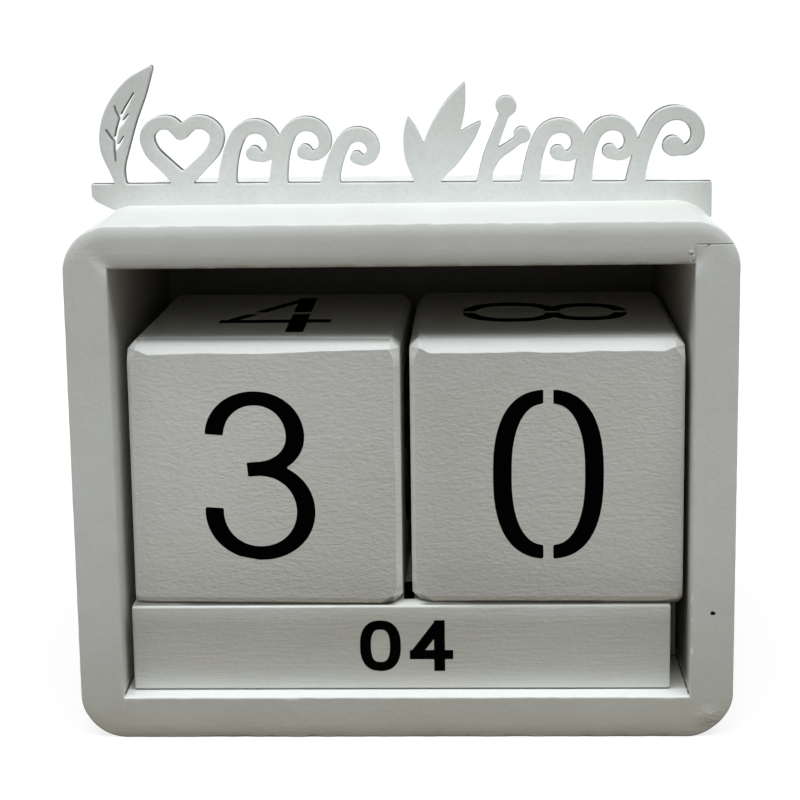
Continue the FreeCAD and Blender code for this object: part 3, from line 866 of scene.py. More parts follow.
def board_outline(which):
    """Closed outline, counter-clockwise seen from behind."""
    seam_t = math.asin((LIP and (HEIGHT - LIP - (HEIGHT - CORNER_R))) / CORNER_R)
    pts = []
    if which in ("top", "bottom"):
        def f(p):
            return p if which == "top" else (p[0], HEIGHT - p[1])
        zt, zb = HEIGHT, HEIGHT - BOARD
        run = straight((-INNER, zb), (INNER, zb), 0.9)
        run += straight((INNER, zb), (INNER, HEIGHT - LIP), 0.35)
        run += straight((INNER, HEIGHT - LIP), (SEAM_X, HEIGHT - LIP), 0.35)
        run += corner_arc(seam_t, math.pi / 2, 1, True)
        run += straight((HW - CORNER_R, zt), (-(HW - CORNER_R), zt), 0.9)[1:]
        run += corner_arc(math.pi / 2, seam_t, -1, True)
        run += straight((-SEAM_X, HEIGHT - LIP), (-INNER, HEIGHT - LIP), 0.35)[1:]
        run += straight((-INNER, HEIGHT - LIP), (-INNER, zb), 0.35)
        pts = [f(p) for p in run]
        if which == "bottom":
            pts = pts[::-1]
    else:
        sx = 1 if which == "right" else -1
        run = straight((INNER, LIP), (SEAM_X, LIP), 0.35)
        run += corner_arc(seam_t, 0.0, 1, False)
        run += straight((HW, CORNER_R), (HW, HEIGHT - CORNER_R), 0.9)[1:]
        run += corner_arc(0.0, seam_t, 1, True)
        run += straight((SEAM_X, HEIGHT - LIP), (INNER, HEIGHT - LIP), 0.35)[1:]
        run += straight((INNER, HEIGHT - LIP), (INNER, HEIGHT - BOARD), 0.35)
        run += straight((INNER, HEIGHT - BOARD), (INNER, BOARD), 0.9)
        run += straight((INNER, BOARD), (INNER, LIP), 0.35)
        pts = run if sx > 0 else [(-x, z) for x, z in run][::-1]
    return pts


def on_joint(x, z):
    ax = abs(x)
    if abs(z - (HEIGHT - LIP)) < 1e-6 or abs(z - LIP) < 1e-6:
        return ax > INNER - 1e-6
    if abs(ax - INNER) < 1e-6:
        return z > HEIGHT - BOARD + 1e-6 or z < BOARD - 1e-6
    return False


def points_inside(poly, P):
    inside = np.zeros(len(P), bool)
    x, z = P[:, 0], P[:, 1]
    for i in range(len(poly)):
        x0, z0 = poly[i - 1]
        x1, z1 = poly[i]
        if z0 != z1:
            hit = ((z0 > z) != (z1 > z)) & (x < (x1 - x0) * (z - z0) / (z1 - z0) + x0)
            inside ^= hit
    return inside


def board_mesh(name, which, mat, hole=None):
    outline = board_outline(which)
    poly = np.array(outline)
    grid = []
    lo, hi = poly.min(0), poly.max(0)
    fine_x, fine_z = (0.8, 0.45) if which in ("top", "bottom") else (0.55, 0.8)
    gx = np.arange(lo[0] + 0.3, hi[0], fine_x)
    gz = np.arange(lo[1] + 0.25, hi[1], fine_z)
    X, Z = np.meshgrid(gx, gz)
    G = np.stack([X.ravel(), Z.ravel()], 1)
    G = G[(d_outer(G[:, 0], G[:, 1]) > 0.62) & (d_inner(G[:, 0], G[:, 1]) > 0.62)]
    grid.append(G)
    # rows of points close to each exposed rim and each joint, which carry the rounding
    nrm = []
    n = len(outline)
    for i in range(n):
        a, b = np.array(outline[i - 1]), np.array(outline[(i + 1) % n])
        t = (b - a) / max(np.hypot(*(b - a)), 1e-9)
        nrm.append((-t[1], t[0]))
    nrm = np.array(nrm)
    for off in (0.02, 0.06, 0.12, 0.20, 0.30, 0.44):
        grid.append(poly + nrm * off)
    P = np.vstack(grid)
    P = P[points_inside(poly, P)]
    # keep clear of the outline itself, except by the rows' own distance
    seg_a, seg_b = np.roll(poly, 1, 0), poly
    D = np.full(len(P), 1e9)
    for a, b in zip(seg_a, seg_b):
        ab = b - a
        t = np.clip(((P - a) @ ab) / max(ab @ ab, 1e-12), 0, 1)
        D = np.minimum(D, np.hypot(*(P - a - t[:, None] * ab).T))
    P = P[D > 0.015]
    holes = []
    if hole:
        hx, hz, hr, hd = hole
        ring = [(hx + hr * (1 + 0.10 * math.sin(3 * t + 1) + 0.06 * math.sin(5 * t)) * math.cos(t),
                 hz + hr * (1 + 0.10 * math.sin(3 * t + 1) + 0.06 * math.sin(5 * t)) * math.sin(t))
                for t in np.linspace(0, 2 * math.pi, 20, endpoint=False)]
        P = P[np.hypot(P[:, 0] - hx, P[:, 1] - hz) > hr * 1.5]
        extra = [(hx + hr * 1.28 * math.cos(t), hz + hr * 1.28 * math.sin(t))
                 for t in np.linspace(0, 2 * math.pi, 20, endpoint=False)]
        P = np.vstack([P, extra])
        holes = ring
    every = [Vector(p) for p in outline] + [Vector(p) for p in holes] + [Vector(p) for p in P]
    edges = [(i, (i + 1) % n) for i in range(n)] + [(n + i, n + (i + 1) % len(holes)) for i in range(len(holes))]
    from mathutils.geometry import delaunay_2d_cdt
    V, E, F, ov, oe, of_ = delaunay_2d_cdt(every, edges, [], 0, 1e-7)
    V = np.array([tuple(v) for v in V])
    C = np.array([V[list(f)].mean(0) for f in F])
    keep = points_inside(poly, C)
    if hole:
        keep &= ~points_inside(np.array(holes), C)
    where = {}
    for k, src in enumerate(ov):
        for i in src:
            where[i] = k
    drop = front_drop(V[:, 0], V[:, 1])
    for i, p in enumerate(outline):
        if on_joint(*p):
            drop[where[i]] += float(seam_depth(p[0], p[1]))
    # the rim never reaches past the front plane
    drop = np.maximum(drop, 0.0)
    back = rim_drop(d_outer(V[:, 0], V[:, 1]), 0.4)
    bm = bmesh.new()
    W = np.stack(worn(V[:, 0], V[:, 1]), 1)
    fv = [bm.verts.new((x * MM, (Y0 + d) * MM, z * MM)) for (x, z), d in zip(W, drop)]
    bv = [bm.verts.new((x * MM, (-Y0 - d) * MM, z * MM)) for (x, z), d in zip(W, back)]
    for f, k in zip(F, keep):
        if not k:
            continue
        a, b, c = V[f[0]], V[f[1]], V[f[2]]
        area = (b[0] - a[0]) * (c[1] - a[1]) - (b[1] - a[1]) * (c[0] - a[0])
        order = list(f) if area > 0 else list(f)[::-1]
        bm.faces.new([fv[i] for i in order])
        bm.faces.new([bv[i] for i in reversed(order)])
    for i in range(n):
        j = (i + 1) % n
        a, b = where[i], where[j]
        bm.faces.new((fv[b], fv[a], bv[a], bv[b]))
    if hole:
        m = len(holes)
        base = [bm.verts.new((x * MM, (Y0 + hole[3]) * MM, z * MM)) for x, z in holes]
        hid = [where[n + i] for i in range(m)]
        # the back face keeps its own patch under the hole
        for i in range(m):
            j = (i + 1) % m
            bm.faces.new((fv[hid[i]], fv[hid[j]], base[j], base[i]))
        bm.faces.new(base)
        bm.faces.new([bv[i] for i in reversed(hid)])
    loose = [v for v in bm.verts if not v.link_faces]
    if loose:
        bmesh.ops.delete(bm, geom=loose, context="VERTS")
    bmesh.ops.recalc_face_normals(bm, faces=bm.faces[:])
    for f in bm.faces:
        f.smooth = True
    me = bpy.data.meshes.new(name)
    bm.to_mesh(me)
    bm.free()
    me.set_sharp_from_angle(angle=math.radians(38))
    me.materials.append(mat)
    ob = bpy.data.objects.new(name, me)
    bpy.context.scene.collection.objects.link(ob)
    return ob


# --------------------------------------------------------------------------------------------
# Crest: a 3 mm sheet cut with a fine saw; the front edges are softened by paint
# --------------------------------------------------------------------------------------------
CREST_Y, CREST_T, GROOVE = 29.05, 3.0, 3.5
CREST_X0, CREST_X1 = -60.95, 59.80
RAIL_LEFT, RAIL_RIGHT = 4.30, 3.65
CREST_H = 27.2


def spline(pts, n=14):
    p = np.asarray(pts, float)
    p = np.vstack([2 * p[0] - p[1], p, 2 * p[-1] - p[-2]])
    out = []
    for i in range(1, len(p) - 2):
        a, b, c, d = p[i - 1:i + 3]
        for k in range(n):
            t = k / n
            out.append(0.5 * (2 * b + (c - a) * t + (2 * a - 5 * b + 4 * c - d) * t * t + (3 * b - a - 3 * c + d) * t ** 3))
    out.append(p[-2])
    return np.array(out)


def ribbon(pts, widths, n=14):
    """Centre line and half-widths along it, both smooth."""
    c = spline(pts, n)
    w = spline([(k, v) for k, v in enumerate(widths)], 24)
    u = np.linspace(0, len(widths) - 1, len(c))
    return c, np.interp(u, w[:, 0], w[:, 1])


def ribbon_field(c, w, X, Z):
    f = np.full(X.shape, 1e9)
    lo, hi = c.min(0) - w.max() - 2, c.max(0) + w.max() + 2
    ix = (X[0] > lo[0]) & (X[0] < hi[0])
    iz = (Z[:, 0] > lo[1]) & (Z[:, 0] < hi[1])
    sub = np.ix_(iz, ix)
    x, z = X[sub], Z[sub]
    g = np.full(x.shape, 1e9)
    for (p, q), (a, b) in zip(zip(c[:-1], c[1:]), zip(w[:-1], w[1:])):
        d = q - p
        t = np.clip(((x - p[0]) * d[0] + (z - p[1]) * d[1]) / max(d @ d, 1e-12), 0, 1)
        g = np.minimum(g, np.hypot(x - p[0] - t * d[0], z - p[1] - t * d[1]) - (a + (b - a) * t))
    f[sub] = g
    return f


def leaf(x0, z0, x1, z1, half, bow):
    a, b = np.array([x0, z0]), np.array([x1, z1])
    d = b - a
    m = np.array([-d[1], d[0]]) / np.hypot(*d)
    return ribbon([a, a + d * 0.22 + m * 0.7 * bow, a + d * 0.45 + m * bow, a + d * 0.75 + m * 0.6 * bow, b],
                  [0.5 * half + 0.3, 0.86 * half, half, 0.72 * half, 0.28])


def wave(x, z, w, h, r):
    """A scroll that rises from the rail, rolls over to the right and ends in a berry."""
    R, cx, cz = 0.36 * h, x + 0.64 * w, z + 0.60 * h
    a0, a1 = math.radians(150), math.radians(-122)
    p0, p1 = np.array([x, z - 0.03 * h]), np.array([cx + R * math.cos(a0), cz + R * math.sin(a0)])
    L = np.hypot(*(p1 - p0))
    t0, t1 = np.array([0.10, 1.0]) * L, np.array([math.sin(a0), -math.cos(a0)]) * L
    pts = []
    for k in range(7):
        t = k / 7.0
        pts.append(tuple(p0 * (2 * t ** 3 - 3 * t * t + 1) + t0 * (t ** 3 - 2 * t * t + t)
                         + p1 * (3 * t * t - 2 * t ** 3) + t1 * (t ** 3 - t * t)))
    for k in range(15):
        t = k / 14.0
        q, rr = a0 + (a1 - a0) * t, R * (1 - 0.64 * t ** 1.25)
        pts.append((cx + rr * math.cos(q), cz + rr * math.sin(q)))
    return [ribbon(pts, [1.85, 1.6, 1.5, 1.45, 1.35, 1.2, 1.0, 0.9], 6), berry(pts[-1][0], pts[-1][1], r)]


def berry(x, z, r):
    return np.array([(x, z), (x + 0.001, z)]), np.array([r, r])


def soft_min(a, b, k):
    h = np.clip(0.5 + 0.5 * (b - a) / k, 0, 1)
    return b + (a - b) * h - k * h * (1 - h)


MOTIFS = [
    ribbon([(-55.0, 3.5), (-55.9, 7.4), (-56.1, 12.2), (-54.8, 17.4), (-52.0, 22.5), (-48.7, CREST_H - 0.45)],
           [0.9, 1.5, 2.9, 3.2, 2.4, 0.45]),
    ribbon([(-42.9, 4.3), (-46.0, 7.5), (-48.9, 10.6), (-49.7, 13.7), (-47.9, 15.8), (-45.2, 16.0), (-43.1, 14.1)],
           [1.7, 1.4, 1.35, 1.35, 1.35, 1.35, 1.3]),
    ribbon([(-43.3, 4.3), (-39.8, 7.5), (-36.9, 10.6), (-36.1, 13.7), (-37.9, 15.8), (-40.6, 16.0), (-43.1, 14.1)],
           [1.7, 1.4, 1.35, 1.35, 1.35, 1.35, 1.3]),
    leaf(4.6, 3.2, 12.0, 22.9, 3.0, 0.4),
    leaf(4.0, 3.6, 1.1, 16.3, 2.1, 0.2),
    leaf(5.2, 3.9, 15.0, 15.4, 2.1, 0.35),
    ribbon([(15.8, 3.4), (16.6, 8.1), (18.1, 12.7), (19.9, 17.3)], [1.5, 1.2, 1.0, 0.9]),
    berry(20.1, 18.6, 2.0),
    ribbon([(16.4, 6.2), (18.1, 8.9), (20.8, 10.8), (22.8, 12.3)], [1.1, 1.0, 0.9, 0.8]),
    berry(23.2, 13.0, 1.6),
]
for spec in ((-34.4, 4.1, 9.7, 12.0, 1.45), (-24.4, 4.1, 9.7, 12.4, 1.45), (-14.2, 4.0, 9.2, 10.2, 1.2),
             (24.7, 3.6, 9.7, 12.0, 1.45), (34.8, 3.5, 9.7, 12.5, 1.45), (45.0, 3.4, 13.0, 14.6, 2.0)):
    MOTIFS += wave(*spec)
VEINS = [
    ribbon([(-56.0, 8.6), (-55.9, 12.8), (-54.6, 17.3), (-51.9, 22.0)], [0.18, 0.34, 0.34, 0.18]),
    ribbon([(-56.0, 10.9), (-55.1, 12.1), (-54.2, 13.6)], [0.26, 0.26, 0.16]),
    ribbon([(-55.9, 12.6), (-56.8, 13.6), (-57.6, 15.0)], [0.26, 0.26, 0.16]),
    ribbon([(-55.3, 15.3), (-54.2, 16.4), (-53.1, 17.9)], [0.26, 0.26, 0.16]),
    ribbon([(-54.8, 17.0), (-55.4, 18.2), (-55.8, 19.6)], [0.26, 0.26, 0.16]),
]


def crest_mesh(name, mat):
    step = 0.10
    xs = np.arange(CREST_X0 - 0.8, CREST_X1 + 0.8, step)
    zs = np.arange(-GROOVE - 0.8, CREST_H + 0.8, step)
    X, Z = np.meshgrid(xs, zs)
    F = np.full(X.shape, 1e9)
    for c, w in MOTIFS:
        F = soft_min(F, ribbon_field(c, w, X, Z), 0.35)
    rail = np.array([(CREST_X0, RAIL_LEFT), (CREST_X0, 1.9), (-60.1, 0.9), (-56.4, -1.0), (-56.0, -GROOVE),
                     (CREST_X1 - 0.5, -GROOVE), (CREST_X1, -GROOVE + 0.3), (CREST_X1, RAIL_RIGHT)])
    R = polygon_distance(rail, X, Z)
    F = soft_min(F, R, 0.35)
    cut = np.full(X.shape, 1e9)
    for c, w in VEINS:
        cut = soft_min(cut, ribbon_field(c, w, X, Z), 0.18)
    F = np.maximum(F, -cut)
    F = np.maximum(F, np.maximum(CREST_X0 - X, X - CREST_X1))
    F = np.maximum(F, np.maximum(Z - CREST_H, -GROOVE - Z))
    outside = (X < -56.0) | (X > CREST_X1)
    F = np.where(outside, np.maximum(F, d_outer(X, Z + HEIGHT) + 0.02), F)
    gz, gx = np.gradient(F, step)

    def sample(A, P):
        u = (P[:, 0] - xs[0]) / step
        v = (P[:, 1] - zs[0]) / step
        i, j = np.clip(v.astype(int), 0, A.shape[0] - 2), np.clip(u.astype(int), 0, A.shape[1] - 2)
        a, b = v - i, u - j
        return (A[i, j] * (1 - a) * (1 - b) + A[i, j + 1] * (1 - a) * b + A[i + 1, j] * a * (1 - b) + A[i + 1, j + 1] * a * b)

    loops = [tidy(l, step) for l in contours(F, xs[0], zs[0], step)]
    loops = [l for l in loops if len(l) > 12]
    from mathutils.geometry import delaunay_2d_cdt
    bm = bmesh.new()
    yf, yb = Y0 + CREST_Y, Y0 + CREST_Y + CREST_T
    steps = [(0.36, 0.0), (0.26, 0.0), (0.15, 0.03), (0.06, 0.10), (0.0, 0.26)]
    flat = []

    def cap(loops_in, y, flip):
        pts, edges, owner = [], [], []
        for li, l in enumerate(loops_in):
            k0 = len(pts)
            pts += [Vector(p) for p in l]
            owner += [(li, i) for i in range(len(l))]
            edges += [(k0 + i, k0 + (i + 1) % len(l)) for i in range(len(l))]
        V, E, Fc, ov, oe, of_ = delaunay_2d_cdt(pts, edges, [], 0, 1e-7)
        V = np.array([tuple(v) for v in V])
        C = np.array([V[list(f)].mean(0) for f in Fc])
        keep = np.zeros(len(C), bool)
        for l in loops_in:
            keep ^= points_inside(np.asarray(l), C)
        verts = [bm.verts.new((a * MM, y * MM, (b + HEIGHT) * MM)) for a, b in V]
        for f, k in zip(Fc, keep):
            if k:
                q = [verts[i] for i in f]
                flat.append(bm.faces.new(q[::-1] if flip else q))
        ids = {}
        for k, src in enumerate(ov):
            for i in src:
                ids[owner[i]] = verts[k]
        return ids

    def inward(l):
        n = np.stack([sample(gx, l), sample(gz, l)], 1)
        n /= np.maximum(np.hypot(n[:, 0], n[:, 1]), 1e-6)[:, None]
        return (np.roll(n, 1, 0) + 2 * n + np.roll(n, -1, 0)) / 4

    def slack(l):
        """The rounding is finer where the sheet is narrow, as at a leaf's tip."""
        n, lim = inward(l), np.full(len(l), 0.36)
        for t in (0.36, 0.30, 0.24, 0.18, 0.12):
            tight = sample(F, l - n * t) > -0.60 * t
            lim = np.where(tight, np.minimum(lim, 0.72 * t), lim)
        for _ in range(8):
            lim = np.minimum(lim, np.minimum(np.roll(lim, 1), np.roll(lim, -1)) + 0.025)
        k = np.clip((np.roll(lim, 1) + 2 * lim + np.roll(lim, -1)) / 1.44, 0.2, 1.0)
        side = np.roll(l, -1, 0) - l
        for _ in range(30):                             # no step of the outline may turn back
            q = l - n * (0.36 * k)[:, None]
            bad = ((np.roll(q, -1, 0) - q) * side).sum(1) < 0.25 * (side ** 2).sum(1)
            if not bad.any():
                break
            for j in (-2, -1, 0, 1, 2, 3):
                k[np.roll(bad, j)] *= 0.93
        return k

    fine = [slack(l) for l in loops]

    def inset(l, d, k):
        return l if d == 0 else l - inward(l) * (d * k)[:, None]

    front = cap([inset(l, steps[0][0], k) for l, k in zip(loops, fine)], yf, False)
    back = cap([inset(l, 0.12, k) for l, k in zip(loops, fine)], yb, True)
    for li, l in enumerate(loops):
        rings = [[front[(li, i)] for i in range(len(l))]]
        for d, dy in steps[1:]:
            rings.append([bm.verts.new((a * MM, (yf + dy) * MM, (b + HEIGHT) * MM)) for a, b in inset(l, d, fine[li])])
        rings.append([bm.verts.new((a * MM, (yb - 0.12) * MM, (b + HEIGHT) * MM)) for a, b in l])
        rings.append([back[(li, i)] for i in range(len(l))])
        for r0, r1 in zip(rings[:-1], rings[1:]):
            for i in range(len(l)):
                j = (i + 1) % len(l)
                bm.faces.new((r0[i], r0[j], r1[j], r1[i]))
    loose = [v for v in bm.verts if not v.link_faces]
    if loose:
        bmesh.ops.delete(bm, geom=loose, context="VERTS")
    bmesh.ops.recalc_face_normals(bm, faces=bm.faces[:])
    for f in bm.faces:
        f.smooth = True
    for f in flat:
        f.smooth = False
    me = bpy.data.meshes.new(name)
    bm.to_mesh(me)
    bm.free()
    me.set_sharp_from_angle(angle=math.radians(50))
    me.materials.append(mat)
    ob = bpy.data.objects.new(name, me)
    bpy.context.scene.collection.objects.link(ob)
    return ob


def cut_box(ob, x0, x1, y0, y1, z0, z1):
    """Takes a box, given in mm, out of a mesh."""
    bm = bmesh.new()
    v = [bm.verts.new((x * MM, y * MM, z * MM)) for x in (x0, x1) for y in (y0, y1) for z in (z0, z1)]
    for q in ((0, 1, 3, 2), (4, 6, 7, 5), (0, 4, 5, 1), (2, 3, 7, 6), (0, 2, 6, 4), (1, 5, 7, 3)):
        bm.faces.new([v[i] for i in q])
    bmesh.ops.recalc_face_normals(bm, faces=bm.faces[:])
    me = bpy.data.meshes.new("cutter")
    bm.to_mesh(me)
    bm.free()
    tool = bpy.data.objects.new("cutter", me)
    bpy.context.scene.collection.objects.link(tool)
    mod = ob.modifiers.new("groove", "BOOLEAN")
    mod.operation = "DIFFERENCE"
    mod.solver = "EXACT"
    mod.object = tool
    bpy.context.view_layer.update()
    done = bpy.data.meshes.new_from_object(ob.evaluated_get(bpy.context.evaluated_depsgraph_get()))
    ob.modifiers.remove(mod)
    old = ob.data
    ob.data = done
    done.name = old.name + "_cut"
    bpy.data.meshes.remove(old)
    bpy.data.objects.remove(tool)
    bpy.data.meshes.remove(me)


board = board_material()
for n, which, hole in (("top_board", "top", None), ("bottom_board", "bottom", None),
                       ("left_side_board", "left", None), ("right_side_board", "right", (57.0, 24.1, 0.48, 1.6))):
    ob = board_mesh(n + "_sanded", which, board, hole)
    if which == "top":
        cut_box(ob, -56.0, CREST_X1, Y0 + CREST_Y - 0.01, Y0 + CREST_Y + CREST_T + 0.01, HEIGHT - GROOVE - 0.01, HEIGHT + 1.0)
    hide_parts(n)
    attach(ob, "frame")
dress(nodes["back_panel"], board)
ob = crest_mesh("crest_sawn", crest_material())
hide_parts("crest_fretwork")
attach(ob, "frame")
steel = brad_material()
for n in ("corner_brads", "back_panel_brads"):
    dress(nodes[n], steel)
ink = numeral_material()


# --------------------------------------------------------------------------------------------
# Cubes: sanded by hand, so the bevels wander a little
# --------------------------------------------------------------------------------------------
def value_noise(seed):
    r = np.random.RandomState(seed)
    amp = r.uniform(-1, 1, 6)
    ph = r.uniform(0, 2 * math.pi, 6)
    fr = np.array([0.09, 0.17, 0.31, 0.52, 0.9, 1.6])
    wt = np.array([1.0, 0.8, 0.6, 0.45, 0.25, 0.18])

    def f(t):
        return sum(w * a * math.sin(q * t + p) for w, a, q, p in zip(wt, amp, fr, ph)) / 1.6

    return f


def sanded_cube(name, cube, seed, mat):
    h = CUBE / 2
    wander = {}

    def edge_radius(a, sa, b, sb, t):
        # a, b: axes of the two faces that meet; sa, sb: their sides; t: place along the edge
        key = (a, sa, b, sb)
        if key not in wander:
            wander[key] = value_noise(seed * 100 + len(wander))
        both = {(a, sa), (b, sb)}
        base = 1.65
        if both == {(1, -1), (2, 1)}:
            base = 2.25 - 0.02 * t if cube[0] < 0 else 2.58
        elif both == {(1, -1), (2, -1)}:
            base = 0.42
        elif both == {(1, -1), (0, -1)}:
            base = 0.65 if cube[0] < 0 else 0.85
        elif both == {(1, -1), (0, 1)}:
            base = 1.05 if cube[0] < 0 else 0.45
        elif both == {(0, -1), (2, -1)}:
            base = 0.65 if cube[0] < 0 else 1.0
        elif both == {(0, 1), (2, -1)}:
            base = 1.0 if cube[0] < 0 else 0.75
        return base * (1 + 0.13 * wander[key](t))

    R0, ZONE, P = 1.95, 4.0, 1.06
    inner = [0.0, 0.35, 0.65, 0.88, 0.97]
    bevel = [1.0, 1.07, 1.30, 1.70, 2.0]
    mid = list(np.linspace(-h + ZONE, h - ZONE, 38)[1:-1])
    # a tick is (side, value): side 0 is a plain place, otherwise value runs 0..1 to the chamfer and 1..2 across it
    ticks = [(-1, t) for t in reversed(inner + bevel)] + [(0, c) for c in mid] + [(1, t) for t in inner + bevel]
    n = len(ticks)

    def nominal(t):
        s, v = t
        if s == 0:
            return v
        return s * (h - ZONE + (ZONE - R0) * min(v, 1.0) + R0 * max(v - 1.0, 0.0))

    def radius(axis, sa, other, so, t):
        a, b = (axis, sa), (other, so)
        if a[0] > b[0]:
            a, b = b, a
        along = nominal(t)
        w = max(0.0, 1 - (h - abs(along)) / ZONE)
        w = min(1.0, w * 1.9)
        w = w * w * (3 - 2 * w)
        third = 3 - axis - other
        signs = {axis: sa, other: so, third: t[0] or (1 if along > 0 else -1)}
        return edge_radius(a[0], a[1], b[0], b[1], along) * (1 - w) + corner_radius(signs) * w

    def corner_radius(signs):
        """The lower front corners are almost square, the upper ones are sanded well back."""
        if signs[1] < 0 and signs[2] < 0:
            outer = signs[0] * cube[0] > 0
            if outer:
                return 0.65 if cube[0] < 0 else 0.85
            return 1.65
        if signs[1] < 0:
            return 1.75
        return R0

    bm = bmesh.new()
    cache = {}
    cx, yf, turn = cube
    ct, st = math.cos(math.radians(turn)), math.sin(math.radians(turn))

    def place(axis, s, u, v, tu, tv):
        """The point of face (axis, s) at ticks tu along u and tv along v."""
        ru = radius(axis, s, u, tu[0] or 1, tv)
        rv = radius(axis, s, v, tv[0] or 1, tu)
        in_u, in_v = tu[0] and tu[1] > 1.0, tv[0] and tv[1] > 1.0

        def coord(t, r):
            side, val = t
            if side == 0:
                return val
            return side * (h - ZONE + (ZONE - r) * val)

        p = [0.0, 0.0, 0.0]
        p[axis] = s * h
        if not in_u:
            p[u] = coord(tu, ru)
        if not in_v:
            p[v] = coord(tv, rv)
        if in_u or in_v:
            r = corner_radius({axis: s, u: tu[0], v: tv[0]}) if (in_u and in_v) else (ru if in_u else rv)
            d = [0.0, 0.0, 0.0]
            d[axis] = r
            if in_u:
                d[u] = (tu[1] - 1) * r
            if in_v:
                d[v] = (tv[1] - 1) * r
            L = sum(c ** P for c in d) ** (1 / P)
            k = r / L
            p[axis] = s * (h - r + d[axis] * k)
            if in_u:
                p[u] = tu[0] * (h - r + d[u] * k)
            if in_v:
                p[v] = tv[0] * (h - r + d[v] * k)
        return p

    def vert(axis, s, u, v, tu, tv):
        p = place(axis, s, u, v, tu, tv)
        key = tuple(round(c, 4) for c in p)
        if key not in cache:
            x, y, z = p
            y += h
            X = cx + ct * x - st * y
            Y = Y0 + yf + st * x + ct * y
            cache[key] = bm.verts.new(Vector((X, Y, CUBE_Z + h + z)) * MM)
        return cache[key]

    for axis in range(3):
        u, v = [(1, 2), (2, 0), (0, 1)][axis]
        for s in (-1, 1):
            grid = [[vert(axis, s, u, v, tu, tv) for tv in ticks] for tu in ticks]
            for i in range(n - 1):
                for j in range(n - 1):
                    quad = [grid[i][j], grid[i + 1][j], grid[i + 1][j + 1], grid[i][j + 1]]
                    if len(set(quad)) < 4:
                        quad = list(dict.fromkeys(quad))
                        if len(quad) < 3:
                            continue
                    if s < 0:
                        quad.reverse()
                    f = bm.faces.new(quad)
                    f.smooth = True
    bmesh.ops.remove_doubles(bm, verts=bm.verts[:], dist=0.000002)
    me = bpy.data.meshes.new(name)
    bm.to_mesh(me)
    bm.free()
    me.materials.append(mat)
    ob = bpy.data.objects.new(name, me)
    bpy.context.scene.collection.objects.link(ob)
    return ob


def cube_place(cube, face):
    """Maps u, v (mm from the middle of a face, upright as the face is read) and w (outward) to the row frame, in mm."""
    cx, yf, turn = cube
    ct, st = math.cos(math.radians(turn)), math.sin(math.radians(turn))
    h = CUBE / 2

    def place(u, v, w):
        if face == "front":
            x, y, z = u, -w, h + v
        elif face == "back":
            x, y, z = -u, CUBE + w, h + v
        elif face == "top":
            x, y, z = u, h + v, CUBE + w
        elif face == "bottom":
            x, y, z = u, h - v, -w
        elif face == "right":
            x, y, z = h + w, h + u, h + v
        else:
            x, y, z = -h - w, h - u, h + v
        return (cx + ct * x - st * y, Y0 + yf + st * x + ct * y, CUBE_Z + z)

    return place


SV, SH, GAP = 3.45, 2.65, 1.85
DW, DH = 20.5, 32.4


def one(ch):
    if ch == "4":
        return numeral(ch, DW, 36.2, SV, 3.05, GAP)
    return numeral(ch, DW, DH, SV, SH, GAP)


for side, cube, seed, digits in (
        ("left", LEFT_CUBE, 3, {"front": ("3", -1.05, -0.45, 0), "top": ("4", 0.05, 0.8, 1.4), "right": ("5", 0, 0, 0),
                               "left": ("2", 0.4, 0.3, 0), "back": ("1", 0, 0, 0), "bottom": ("0", 0, 0, 90)}),
        ("right", RIGHT_CUBE, 7, {"front": ("0", 0.25, -0.50, 0), "top": ("8", 0.45, 1.2, -90), "right": ("7", 0, 0.3, 0),
                                 "left": ("1", 0, 0, 0), "back": ("2", 0, 0, 0), "bottom": ("6", 0, 0, 0)})):
    mat = cube_material(f"paint_cube_{side}", (0.31 * seed, 0.17 * seed, 0.05 * seed), 1.10)
    ob = sanded_cube(f"{side}_cube_sanded", cube, seed, mat)
    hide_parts(f"{side}_day_cube")
    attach(ob, f"{side}_cube")
    marks = []
    for face, (ch, u, v, turn) in digits.items():
        marks.append((one(ch), (u, v), math.radians(turn), cube_place(cube, face)))
    f = film(f"{side}_cube_numerals", marks)
    dress(f, ink)
    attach(f, f"{side}_cube")


# --------------------------------------------------------------------------------------------
# Bars: three bars with four month numbers each
# --------------------------------------------------------------------------------------------
def bar_place(x0, yf, face):
    def place(u, v, w):
        xm, ym, zm = x0 + BAR_L / 2, Y0 + yf, BAR_Z
        if face == "front":
            return (xm + u, ym - w, zm + BAR / 2 + v)
        if face == "top":
            return (xm + u, ym + BAR / 2 + v, zm + BAR + w)
        if face == "back":
            return (xm + u, ym + BAR + w, zm + BAR / 2 - v)
        return (xm + u, ym + BAR / 2 - v, zm - w)

    return place


for i, (which, (x0, yf)) in enumerate(BARS.items()):
    dress(nodes[f"month_bar_{which}"], bar_material(f"paint_bar_{which}", (0.7 * i + 0.2, 0.3 * i, 0.1)))
    texts = {"front": ("04", "10", "01", "07"), "middle": ("02", "05", "08", "11"), "back": ("03", "06", "09", "12")}[which]
    marks = []
    for text, face in zip(texts, ("front", "top", "back", "bottom")):
        du = {"front": 0.1 - (x0 + BAR_L / 2), "middle": 0.0, "back": 0.0}[which]
        if face == "top":
            du += {"front": 4.9, "middle": -1.35, "back": 0.0}[which]
        dv = 0.4 if which == "front" and face == "front" else (0.6 if which == "front" and face == "top" else 0.0)
        loops = numeral(text, 7.7, 10.0, 2.05, 1.80, 0.0, 9.6)
        marks.append((loops, (du, dv), 0.0, bar_place(x0, yf, face)))
    f = film(f"month_numbers_{which}", marks)
    dress(f, ink)
    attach(f, f"{which}_bar")


